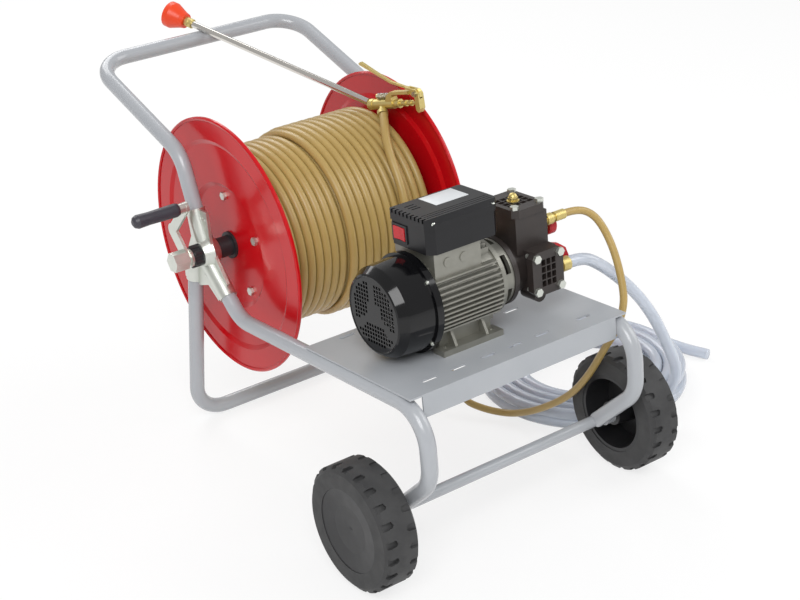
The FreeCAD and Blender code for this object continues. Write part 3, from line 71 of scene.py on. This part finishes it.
# A finish: shader settings, clouds of a second colour, marks that change the gloss and, where one is given,
# a grain that stands out by a real depth. Sizes are in metres.
def finish(name, colour, cloudColour, cloudSize, grain, grainDepth, roughness, roughSpread, **settings):
    material = bpy.data.materials.new(name)
    material.use_nodes = True
    tree = material.node_tree
    shader = tree.nodes["Principled BSDF"]
    shader.inputs["Base Color"].default_value = linear(colour)
    shader.inputs["Roughness"].default_value = roughness
    for key, value in settings.items():
        shader.inputs[key.replace("_", " ")].default_value = value
    place = addNode(tree, "ShaderNodeTexCoord").outputs["Object"]
    cloud = addNode(tree, "ShaderNodeTexNoise", {"Scale": 1 / cloudSize, "Detail": 4.0}, {"Vector": place})
    tint = addNode(tree, "ShaderNodeMix", {"data_type": "RGBA"}, {"Factor": cloud.outputs["Fac"]})
    tint.inputs[6].default_value = linear(colour)  # sockets 6 and 7 are the two colours, output 2 their mix
    tint.inputs[7].default_value = linear(cloudColour)
    tree.links.new(tint.outputs[2], shader.inputs["Base Color"])
    if roughSpread:
        markSize = 0.6 * cloudSize
        marks = addNode(tree, "ShaderNodeTexNoise", {"Scale": 1 / markSize, "Detail": 6.0}, {"Vector": place})
        ends = {"To Min": roughness - roughSpread, "To Max": roughness + roughSpread}
        spread = addNode(tree, "ShaderNodeMapRange", ends, {"Value": marks.outputs["Fac"]})
        tree.links.new(spread.outputs["Result"], shader.inputs["Roughness"])
    if grain:
        bumps = addNode(tree, "ShaderNodeTexNoise", {"Scale": 1 / grain, "Detail": 2.0}, {"Vector": place})
        relief = addNode(tree, "ShaderNodeBump", {"Strength": 0.6, "Distance": grainDepth},
                         {"Height": bumps.outputs["Fac"]})
        tree.links.new(relief.outputs["Normal"], shader.inputs["Normal"])
    return material


# Each finish: colour, cloud colour, cloud size, grain spacing and depth, roughness and its spread.
# A grain finer than half a millimetre would not show, so those are drawn about a millimetre apart.
# Powder coat on steel tube: glossy, pale grey, with the fine dimples of a baked coat about 2 mm apart.
powderCoatGrey = finish("powderCoatGreySteel", "#A9ACB0", "#A1A4A9", 0.12, 0.002, 0.00006, 0.24, 0.05,
                        Coat_Weight=0.3, Coat_Roughness=0.08)
# The same coat on the flat deck, a little duller where things are set down.
deckCoatGrey = finish("powderCoatGreyDeck", "#A9ACB0", "#9DA1A6", 0.05, 0.002, 0.00008, 0.36, 0.08,
                      Coat_Weight=0.15, Coat_Roughness=0.2)
# Stoved enamel on pressed sheet: deep red and wet-looking.
enamelRed = finish("enamelRedSheet", "#C60A14", "#B60814", 0.15, 0.004, 0.00004, 0.2, 0.04,
                   Specular_IOR_Level=0.28, Coat_Weight=0.12, Coat_Roughness=0.05)
# Bright zinc plate: pale metal with a cloudy haze over it.
zincPlate = finish("zincPlatedSteel", "#E0E2DA", "#C9CDC6", 0.02, 0.0008, 0.00001, 0.36, 0.08, Metallic=0.9)
# Turned steel: bright metal, its fine tool marks drawn as a coarser grain.
turnedSteel = finish("turnedSteel", "#C2C3C2", "#AEB0B0", 0.01, 0.0006, 0.00002, 0.28, 0.06, Metallic=1.0)
# Stainless tube, drawn and polished: a hard bright line along it.
polishedSteel = finish("polishedStainlessTube", "#E2DED8", "#D6D2CC", 0.04, None, 0, 0.2, 0.03, Metallic=1.0)
# Brass castings and turned fittings, brushed: pale gold with a broad soft highlight.
satinBrass = finish("satinBrass", "#DCCB8A", "#CDB974", 0.012, 0.0007, 0.00004, 0.44, 0.08, Metallic=0.85)
# Aluminium as it leaves the mould: dull grey with a grain.
castAluminium = finish("castAluminium", "#9B9A92", "#86857D", 0.02, 0.0012, 0.00012, 0.42, 0.1, Metallic=0.7)
# Glass-filled nylon of the pump: nearly black with a brown cast and a rough grain.
pumpNylon = finish("glassFilledNylon", "#282423", "#352D2A", 0.02, 0.0014, 0.00014, 0.42, 0.1)
# ABS moulded against a spark-eroded tool: dark charcoal with a fine, even sheen.
boxPlastic = finish("mouldedAbsCharcoal", "#131315", "#19191C", 0.03, 0.001, 0.00004, 0.3, 0.06,
                    Specular_IOR_Level=0.35)
# Nylon moulded in a polished tool: black and glossy.
coverPlastic = finish("polishedBlackMoulding", "#08080A", "#0C0C0E", 0.05, None, 0, 0.1, 0.03,
                      Specular_IOR_Level=0.4)
# Black nylon of the bearings and hubs, moulded: satin.
bushPlastic = finish("mouldedNylonBlack", "#1D1D20", "#28282B", 0.015, 0.001, 0.00008, 0.45, 0.06)
# Dipped vinyl of the crank grip: dark and soft, with a faint violet cast.
gripVinyl = finish("vinylGripDark", "#34323A", "#3E3C44", 0.02, 0.0012, 0.0001, 0.4, 0.06)
# Moulded tyre rubber: charcoal and dull, with a dusty bloom.
tyreRubber = finish("tyreRubber", "#232325", "#434343", 0.03, 0.0016, 0.0003, 0.62, 0.12)
# Dark nylon of the wheel discs, moulded: smoother than the tyres.
discPlastic = finish("mouldedWheelDisc", "#1A1A1C", "#242426", 0.03, 0.0012, 0.0001, 0.42, 0.08)
# PVC spray hose: tan, satin, slightly uneven in tone.
hosePvc = finish("pvcSprayHoseTan", "#B59A5E", "#A2884F", 0.05, 0.0016, 0.00012, 0.34, 0.06,
                 Specular_IOR_Level=0.45)
# Clear PVC suction hose: milky and faintly blue where it is thick.
clearPvc = finish("clearPvcHose", "#DDE3ED", "#CFD8E6", 0.05, None, 0, 0.14, 0.04, IOR=1.5,
                  Transmission_Weight=0.4, Coat_Weight=0.3)
# Polycarbonate rocker, moulded and polished: clear signal red.
rockerRed = finish("rockerRedPolycarbonate", "#C81420", "#B8121C", 0.02, None, 0, 0.22, 0.0)
# Nylon knob and lever, moulded in red: satin.
leverRed = finish("mouldedRedNylon", "#C4121E", "#B01020", 0.02, 0.0012, 0.00006, 0.32, 0.05)
# Nylon nozzle cap, moulded in orange: bright and satin.
nozzleOrange = finish("mouldedOrangeNylon", "#EE4A1E", "#E23E14", 0.02, 0.0012, 0.00008, 0.34, 0.05)
# Die-cast aluminium fan behind the grille, painted brighter than cast aluminium as painted light, so that it
# shows lit through the openings where little lamp light reaches it.
fanPaintedBright = finish("castFanAluminiumPaintedBright", "#DADAD6", "#CACAC5", 0.02, 0.001, 0.00008, 0.5, 0.05, Metallic=0.2)
# Rolled foil of the bare label: pale and even.
labelFoil = finish("blankLabelFoil", "#D4D7D9", "#C9CCCF", 0.03, None, 0, 0.35, 0.05)

nodeFinish = {
    "side_tube_left": powderCoatGrey, "side_tube_right": powderCoatGrey, "handle_tube": powderCoatGrey,
    "leg_tube": powderCoatGrey, "axle_bar": powderCoatGrey, "deck_plate": deckCoatGrey,
    "flange_left": enamelRed, "flange_right": enamelRed, "drum": turnedSteel,
    "bracket_left_outer": zincPlate, "bracket_left_inner": zincPlate, "bracket_right_outer": zincPlate,
    "bracket_right_inner": zincPlate, "bracket_bolts": zincPlate, "flange_bolts": zincPlate,
    "motor_bolts": zincPlate, "pump_bolts": zincPlate, "crank_arm": zincPlate, "crank_hub": zincPlate,
    "reel_shaft": zincPlate, "motor_shaft": turnedSteel, "trigger_pin": turnedSteel,
    "bearing_left": bushPlastic, "bearing_right": bushPlastic, "hub_left": bushPlastic,
    "hub_right": bushPlastic, "crank_grip": gripVinyl, "switch_box": boxPlastic, "switch_lid": boxPlastic,
    "switch_bezel": bushPlastic, "switch_rocker": rockerRed, "tyre_left": tyreRubber,
    "tyre_right": tyreRubber, "rim_left": discPlastic, "rim_right": discPlastic,
    "motor_body": castAluminium, "motor_flange": castAluminium, "fan_cover": coverPlastic,
    "motor_fan": fanPaintedBright, "pump_body": pumpNylon, "pump_head_front": pumpNylon,
    "pump_head_top": pumpNylon, "regulator_body": satinBrass, "regulator_knob": leverRed,
    "bypass_lever": leverRed, "outlet_fitting": satinBrass, "inlet_fitting": satinBrass,
    "swivel": satinBrass, "gun_body": satinBrass, "gun_ferrule": satinBrass, "trigger_lever": satinBrass,
    "lance_tube": polishedSteel, "nozzle_cap": nozzleOrange, "hose_core": hosePvc,
}
for node, material in nodeFinish.items():
    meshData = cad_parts[node].data
    meshData.materials.clear()
    meshData.materials.append(material)
print("finishes laid on the carried-over solids:", len(nodeFinish))

view = {"place": (-1.5288, -2.3048, 1.5819), "turn": (64.2, 2.193, -37.641), "lens": 77.93,
        "shiftX": -0.024, "shiftY": 0.002}
cameraData = bpy.data.cameras.new("camera")
cameraData.lens = view["lens"]
cameraData.shift_x = view["shiftX"]
cameraData.shift_y = view["shiftY"]
camera = bpy.data.objects.new("camera", cameraData)
camera.location = view["place"]
camera.rotation_euler = [math.radians(a) for a in view["turn"]]
bpy.context.collection.objects.link(camera)
bpy.context.scene.camera = camera


# A smooth NURBS line through route points, added to a curve.
def addLine(curve, points):
    line = curve.splines.new("NURBS")
    line.points.add(len(points) - 1)
    for spot, place in zip(line.points, points):
        spot.co = (*place, 1)
    line.order_u = 3
    line.use_endpoint_u = True


# A hose or wire with a round section; steps are taken from point to point, roundness is the section's.
def hose(name, points, diameter, material, steps=6, roundness=4):
    curve = bpy.data.curves.new(name, "CURVE")
    curve.dimensions = "3D"
    curve.bevel_depth = diameter / 2
    curve.bevel_resolution = roundness
    curve.resolution_u = steps
    curve.use_fill_caps = True
    addLine(curve, points)
    curve.materials.append(material)
    piece = bpy.data.objects.new(name, curve)
    bpy.context.collection.objects.link(piece)
    return piece


def insideShare(perTurn):  # a round line is drawn smaller than its points lie, by this share
    return 0.75 + 0.25 * math.cos(2 * math.pi / perTurn)


# The wound hose. An end dips under its neighbours within a third of a turn, by tuckDepth hose widths.
reel = {"y": 0.5046, "height": 0.4093, "hoseDiameter": 0.0155, "windingRadius": 0.173, "step": 0.0095,
        "stepAfter": 0.4, "pitch": 0.0162, "turns": 19, "perTurn": 24, "layers": 4, "nestedStep": 0.0134,
        "tuckRate": 3, "tuckDepth": 1.7, "slack": 0.0003, "slackWaves": 5, "startTurn": 0.35}


def aroundReel(x, angle, radius):
    turn = math.radians(angle)
    return leaned(x, reel["y"] + radius * math.cos(turn), reel["height"] + radius * math.sin(turn))


# The link hose: out of the pump, under the deck's edge and up to the swivel.
linkHose = {"diameter": 0.013, "route": [
    (0.194, 0.037, 0.476), (0.225, 0.037, 0.476), (0.250, 0.025, 0.462), (0.260, 0.008, 0.432),
    (0.261, -0.012, 0.395), (0.257, -0.030, 0.350), (0.250, -0.040, 0.318), (0.243, -0.028, 0.272),
    (0.238, -0.003, 0.235), (0.232, 0.033, 0.174), (0.228, 0.079, 0.121), (0.222, 0.133, 0.083),
    (0.218, 0.185, 0.054), (0.218, 0.243, 0.030), (0.190, 0.280, 0.037), (0.168, 0.318, 0.052),
    (0.200, 0.400, 0.090), (0.245, 0.470, 0.200), (0.261, 0.5046, 0.320), (0.261, 0.5046, 0.3653)]}
linkRoute = [leaned(*point) for point in linkHose["route"]]
link = hose("linkHose", linkRoute, linkHose["diameter"], hosePvc)
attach(link, "chassis")
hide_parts("link_hose")

# The gun's tail: straight out of the ferrule, then down onto the winding at (x, degrees round the reel).
tailHose = {"start": (0.1281, 0.4280, 0.5861), "way": (-0.507, -0.731, -0.457), "straight": 0.031,
            "bend": [(0.099, 0.384, 0.551), (0.092, 0.3645, 0.527)], "overWinding": 0.0019,
            "round": [(0.089, 151.5), (0.087, 163.5), (0.086, 175.5), (0.085, 187.5), (0.084, 199)]}
tailStart = Vector(tailHose["start"])
tailWay = Vector(tailHose["way"]).normalized()
tailRadius = reel["windingRadius"] + reel["hoseDiameter"] / 2 + tailHose["overWinding"]
tailRoute = [leaned(*tailStart), leaned(*(tailStart + tailWay * tailHose["straight"]))]
tailRoute += [leaned(*point) for point in tailHose["bend"]]
tailRoute += [aroundReel(x, angle, tailRadius) for x, angle in tailHose["round"]]
tail = hose("gunTailHose", tailRoute, reel["hoseDiameter"], hosePvc)
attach(tail, "chassis")
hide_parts("gun_tail")

# The suction line: down from the pump, round the coil on the floor and out to its open end. The coil winds
# inwards on its upper layer, drops in half a turn and winds outwards on the lower one.
suction = {"diameter": 0.021, "inlet": (0.192, 0.031, 0.392), "stub": 0.031,
           "drop": [(0.255, 0.047, 0.372), (0.296, 0.041, 0.336), (0.340, 0.040, 0.290),
                    (0.372, 0.040, 0.248), (0.398, 0.041, 0.207), (0.421, 0.0425, 0.163),
                    (0.4424, 0.0386, 0.1158), (0.4415, 0.039, 0.0878), (0.4311, 0.0438, 0.0622),
                    (0.4129, 0.0523, 0.0428)],
           "leadIn": (0.049, 0.021), "centre": (0.428, 0.262), "radius": 0.196, "pitch": 0.0218,
           "start": -115.0, "turnsIn": 3.5, "crossing": 0.5, "turnsAll": 7.653, "perTurn": 24,
           "high": 0.0323, "low": 0.0107, "leadOut": (0.021, 0.059),
           "end": [(0.646, 0.201), (0.660, 0.1645)]}


def coilPoint(turn):
    angle = math.radians(suction["start"] - 360 * turn)
    middle = suction["turnsIn"] + suction["crossing"] / 2
    radius = suction["radius"] - suction["pitch"] * (middle - abs(turn - middle))
    radius /= insideShare(suction["perTurn"])
    fall = min(max((turn - suction["turnsIn"]) / suction["crossing"], 0), 1)
    height = suction["high"] - (suction["high"] - suction["low"]) * fall
    return onFloor(suction["centre"][0] + radius * math.cos(angle),
                   suction["centre"][1] + radius * math.sin(angle), height)


pumpInlet = leaned(*suction["inlet"])
suctionRoute = [pumpInlet, pumpInlet + Vector((suction["stub"], 0, 0))]
suctionRoute += [onFloor(*point) for point in suction["drop"]]
nearby = 0.01  # of a turn, to find which way the coil runs at its ends
firstTurn = coilPoint(0)
firstWay = (coilPoint(nearby) - firstTurn).normalized()
suctionRoute += [firstTurn - firstWay * gap for gap in suction["leadIn"]]
coilCount = math.floor(suction["turnsAll"] * suction["perTurn"])
suctionRoute += [coilPoint(number / suction["perTurn"]) for number in range(coilCount + 1)]
lastTurn = coilPoint(suction["turnsAll"])
lastWay = (lastTurn - coilPoint(suction["turnsAll"] - nearby)).normalized()
suctionRoute += [lastTurn + lastWay * gap for gap in suction["leadOut"]]
suctionRoute += [onFloor(x, y, suction["low"]) for x, y in suction["end"]]
suctionLine = hose("suctionHose", suctionRoute, suction["diameter"], clearPvc)
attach(suctionLine, "chassis")
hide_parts("suction_hose", "suction_coil", "suction_tail")


# A layer on the reel, low at the crank end and one step higher after two fifths of the turns. Each
# second layer lies half a turn's width along, in the grooves of the one above it.
def windingPoint(turn, layer):
    stepTurn = int(reel["stepAfter"] * reel["turns"])
    rise = min(max(2 * (turn - stepTurn - 0.5), 0), 1)  # it climbs within half a turn
    radius = reel["windingRadius"] - reel["hoseDiameter"] / 2 - reel["step"] * (1 - rise)
    radius -= reel["nestedStep"] * layer
    tuck = max(0, 1 - reel["tuckRate"] * min(turn, reel["turns"] - turn)) ** 2
    radius -= reel["tuckDepth"] * reel["hoseDiameter"] * tuck
    radius /= insideShare(reel["perTurn"])
    x = reel["pitch"] * (turn - reel["turns"] / 2)
    x -= math.copysign(reel["pitch"] * tuck, x)
    slack = reel["slack"] * math.sin(reel["slackWaves"] * turn)
    return aroundReel(x + slack, 360 * (turn + reel["startTurn"]), radius)


def windingLayer(layer):
    shift = 0.5 * (layer % 2)
    count = int((reel["turns"] - 2 * shift) * reel["perTurn"])
    return [windingPoint(shift + number / reel["perTurn"], layer) for number in range(count + 1)]


winding = hose("hoseWinding", windingLayer(0), reel["hoseDiameter"], hosePvc, steps=3)
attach(winding, "reel")
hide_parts("hose_winding")

underLayers = hose("hoseUnderLayers", windingLayer(1), reel["hoseDiameter"], hosePvc, steps=2, roundness=2)
for layer in range(2, reel["layers"]):
    addLine(underLayers.data, windingLayer(layer))
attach(underLayers, "reel")
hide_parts("hose_core")
print("hoses laid, outer turns:", reel["turns"])


def chassisPlace(x, y, z, turn=(0, 0, 0)):
    turned = Euler([math.radians(a) for a in turn]).to_matrix().to_4x4()
    return leanMatrix @ Matrix.Translation((x, y, z)) @ turned


# Turns an outline of (radius, height) pairs about the upright axis.
def lathe(outline, steps):
    work = bmesh.new()
    verts = [work.verts.new((radius, 0, height)) for radius, height in outline]
    edges = [work.edges.new(pair) for pair in zip(verts, verts[1:])]
    bmesh.ops.spin(work, geom=verts + edges, axis=(0, 0, 1), cent=(0, 0, 0), angle=2 * math.pi, steps=steps,
                   use_merge=True)
    bmesh.ops.remove_doubles(work, verts=work.verts, dist=0.00001)
    return work


def softBox(width, depth, height, edge, segments):
    work = bmesh.new()
    bmesh.ops.create_cube(work, size=1.0)
    bmesh.ops.scale(work, vec=(width, depth, height), verts=work.verts)
    bmesh.ops.bevel(work, geom=work.edges[:], offset=edge, segments=segments, profile=0.5, affect="EDGES",
                    material=-1)
    return work


# Adds one bmesh to another, in its place.
def addMesh(target, source, place):
    bmesh.ops.transform(source, matrix=place, verts=source.verts)
    sourceData = bpy.data.meshes.new("part")
    source.to_mesh(sourceData)
    source.free()
    target.from_mesh(sourceData)
    bpy.data.meshes.remove(sourceData)


sharpAngle = math.radians(32)  # an edge that turns by more than this stays sharp


# Puts a finished bmesh in its place with its finish, smooth over all but its sharp edges.
def keep(work, name, material, body, place=None):
    if place:
        bmesh.ops.transform(work, matrix=place, verts=work.verts)
    bmesh.ops.recalc_face_normals(work, faces=work.faces)
    for face in work.faces:
        face.smooth = True
    for edge in work.edges:
        edge.smooth = edge.calc_face_angle(0) < sharpAngle
    meshData = bpy.data.meshes.new(name)
    work.to_mesh(meshData)
    work.free()
    meshData.materials.append(material)
    piece = bpy.data.objects.new(name, meshData)
    bpy.context.collection.objects.link(piece)
    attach(piece, body)
    return piece


# Pan head with a round recess, which catches the dark. All but sunk are shares of its radius or height.
screw = {"recess": 0.42, "recessFloor": 0.35, "flat": 0.75, "shoulder": 0.55, "sunk": 0.0008, "sides": 24}


def screwHead(radius, height):
    recess = radius * screw["recess"]
    recessFloor = height * screw["recessFloor"]
    return lathe([(0, recessFloor), (recess, recessFloor), (recess, height), (radius * screw["flat"], height),
                  (radius, height * screw["shoulder"]), (radius, -screw["sunk"]), (0, -screw["sunk"])],
                 screw["sides"])


lidParts = {"labelSize": (0.065, 0.046, 0.0008), "labelEdge": 0.0003, "labelAt": (-0.0115, 0.084, 0.5511),
            "screwRadius": 0.0044, "screwHeight": 0.003, "screwXs": (-0.0875, 0.0305),
            "screwYs": (0.0155, 0.1145), "ledge": 0.543}
label = softBox(*lidParts["labelSize"], lidParts["labelEdge"], 2)
keep(label, "lidLabel", labelFoil, "chassis", chassisPlace(*lidParts["labelAt"]))
lidScrews = bmesh.new()
for x in lidParts["screwXs"]:
    for y in lidParts["screwYs"]:
        head = screwHead(lidParts["screwRadius"], lidParts["screwHeight"])
        addMesh(lidScrews, head, chassisPlace(x, y, lidParts["ledge"]))
keep(lidScrews, "lidScrews", zincPlate, "chassis")

# Screws round the fan cover, at these angles about the motor's shaft.
coverParts = {"screwRadius": 0.0036, "screwHeight": 0.002, "ring": 0.0795, "face": -0.114,
              "shaftY": 0.066, "shaftZ": 0.407, "turns": (40, 140, 220, 320)}
coverScrews = bmesh.new()
for turn in coverParts["turns"]:
    angle = math.radians(turn)
    y = coverParts["shaftY"] + coverParts["ring"] * math.cos(angle)
    z = coverParts["shaftZ"] + coverParts["ring"] * math.sin(angle)
    head = screwHead(coverParts["screwRadius"], coverParts["screwHeight"])
    addMesh(coverScrews, head, chassisPlace(coverParts["face"], y, z, (0, -90, 0)))
keep(coverScrews, "coverScrews", zincPlate, "chassis")

# Brass cap nut at the middle of the pump's upper head: hexagon, washer and dome.
capNut = {"radius": 0.0085, "height": 0.006, "edge": 0.0006, "at": (0.115, 0.0675, 0.5172), "sides": 32,
          "washer": [(0.0105, -0.0042), (0.0105, -0.003), (0.0075, -0.003)],
          "dome": [(0.0072, 0.0025), (0.0068, 0.005), (0.005, 0.0078), (0.0025, 0.0092), (0, 0.0096)]}
nut = bmesh.new()
bmesh.ops.create_cone(nut, segments=6, radius1=capNut["radius"], radius2=capNut["radius"],
                      depth=capNut["height"], cap_ends=True)
bmesh.ops.bevel(nut, geom=nut.edges[:], offset=capNut["edge"], segments=2, profile=0.5, affect="EDGES",
                material=-1)
for outline in (capNut["washer"], capNut["dome"]):
    addMesh(nut, lathe(outline, capNut["sides"]), Matrix.Identity(4))
keep(nut, "pumpCapNut", satinBrass, "chassis", chassisPlace(*capNut["at"]))

# The spray gun's round pieces. The lance runs from the gun's joint to where it lies on the handle bar, and
# its collar's outline is measured from the tube's end.
gunParts = {"joint": (0.140, 0.4720, 0.5945), "barContact": (0.0085, 0.8298, 0.7107),
            "rear": (0.155, 0.332, 0.620), "sides": 40}
lance = {"start": 0.012, "pastBar": 0.0149, "bore": 0.005, "radius": 0.00625, "inCollar": 0.001,
         "collar": [(0.005, 0), (0.0082, 0), (0.009, 0.0008), (0.009, 0.006), (0.0078, 0.0075),
                    (0.009, 0.009), (0.009, 0.016), (0.008, 0.016), (0.008, 0.03), (0.005, 0.03), (0.005, 0)]}
# The coil spring lies along the barrel, above its line.
spring = {"from": 0.017, "to": 0.050, "radius": 0.0051, "height": 0.014, "turns": 11, "perTurn": 12,
          "wire": 0.0011}


# Turns the x axis onto the line from start to end, with z above it.
def alongLine(start, end):
    direction = (Vector(end) - Vector(start)).normalized()
    side = Vector((0, 0, 1)).cross(direction).normalized()
    above = direction.cross(side)
    return leanMatrix @ Matrix.LocRotScale(Vector(start), Matrix((direction, side, above)).transposed(), None)


lanceLength = (Vector(gunParts["barContact"]) - Vector(gunParts["joint"])).length + lance["pastBar"]
lanceLine = alongLine(gunParts["joint"], gunParts["barContact"])
lancePlace = lanceLine @ Matrix.Rotation(math.radians(90), 4, "Y")
tubeEnd = lanceLength + lance["inCollar"]
lanceTube = lathe([(lance["bore"], lance["start"]), (lance["radius"], lance["start"]),
                   (lance["radius"], tubeEnd), (lance["bore"], tubeEnd), (lance["bore"], lance["start"])],
                  gunParts["sides"])
lancePiece = keep(lanceTube, "lanceTube", polishedSteel, "gun", lancePlace)
lanceTip = lathe([(radius, lanceLength + past) for radius, past in lance["collar"]], gunParts["sides"])
keep(lanceTip, "lanceTip", satinBrass, "gun", lancePlace)
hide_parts("lance_tube")

barrelLine = alongLine(gunParts["joint"], gunParts["rear"])
springSteps = spring["turns"] * spring["perTurn"]
springRoute = []
for number in range(springSteps + 1):
    angle = 2 * math.pi * number / spring["perTurn"]
    along = spring["from"] + (spring["to"] - spring["from"]) * (number / springSteps)
    aside = spring["radius"] * math.cos(angle)
    above = spring["height"] + spring["radius"] * math.sin(angle)
    springRoute.append(barrelLine @ Vector((along, aside, above)))
gunSpring = hose("gunSpring", springRoute, spring["wire"], turnedSteel, steps=2, roundness=1)
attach(gunSpring, "gun")
print("small pieces fitted")

# A white paper floor under a white sky. To the camera and to shiny pieces the floor glows by its share.
stage = {"floorSize": 30.0, "floorColour": "#F4F4F4", "worldLight": 0.5, "floorGlow": 0.75,
         "lampAim": (0, 0, 0.3)}
floorMesh = bmesh.new()
bmesh.ops.create_grid(floorMesh, x_segments=1, y_segments=1, size=stage["floorSize"] / 2)
floorData = bpy.data.meshes.new("floor")
floorMesh.to_mesh(floorData)
floorMesh.free()
floor = bpy.data.objects.new("floor", floorData)
bpy.context.collection.objects.link(floor)
paper = bpy.data.materials.new("paperBackdrop")
paper.use_nodes = True
tree = paper.node_tree
tree.nodes.clear()
matte = addNode(tree, "ShaderNodeBsdfDiffuse", {"Color": linear(stage["floorColour"])})
glow = addNode(tree, "ShaderNodeEmission", {"Color": (1, 1, 1, 1), "Strength": 1.0})
path = addNode(tree, "ShaderNodeLightPath")
seen = addNode(tree, "ShaderNodeMath", {"operation": "ADD"})
tree.links.new(path.outputs["Is Camera Ray"], seen.inputs[0])
tree.links.new(path.outputs["Is Glossy Ray"], seen.inputs[1])
share = addNode(tree, "ShaderNodeMath", {"operation": "MULTIPLY"})
tree.links.new(seen.outputs[0], share.inputs[0])
share.inputs[1].default_value = stage["floorGlow"]
blend = addNode(tree, "ShaderNodeMixShader", links={"Fac": share.outputs[0]})
tree.links.new(matte.outputs[0], blend.inputs[1])
tree.links.new(glow.outputs[0], blend.inputs[2])
addNode(tree, "ShaderNodeOutputMaterial", links={"Surface": blend.outputs[0]})
floorData.materials.append(paper)

lamps = [  # name, place, size in metres, power in watts
    ("keyLamp", (-2.2, -2.6, 3.2), 2.4, 120),
    ("fillLamp", (2.8, -1.6, 2.2), 2.2, 45),
    ("rearLamp", (0.6, 3.0, 2.8), 2.4, 60)]
for name, place, size, power in lamps:
    lampData = bpy.data.lights.new(name, "AREA")
    lampData.size = size
    lampData.energy = power
    lamp = bpy.data.objects.new(name, lampData)
    lamp.location = place
    lamp.rotation_euler = (Vector(stage["lampAim"]) - Vector(place)).to_track_quat("-Z", "Y").to_euler()
    bpy.context.collection.objects.link(lamp)

world = bpy.data.worlds.new("studio")
bpy.context.scene.world = world
world.use_nodes = True
tree = world.node_tree
tree.nodes.clear()
sky = addNode(tree, "ShaderNodeBackground", {"Color": (1, 1, 1, 1), "Strength": stage["worldLight"]})
white = addNode(tree, "ShaderNodeBackground", {"Color": (1, 1, 1, 1), "Strength": 1.0})
path = addNode(tree, "ShaderNodeLightPath")
blend = addNode(tree, "ShaderNodeMixShader", links={"Fac": path.outputs["Is Camera Ray"]})
tree.links.new(sky.outputs[0], blend.inputs[1])
tree.links.new(white.outputs[0], blend.inputs[2])
addNode(tree, "ShaderNodeOutputWorld", links={"Surface": blend.outputs[0]})
bpy.context.scene.view_settings.view_transform = "Standard"
print("floor and lamps set")
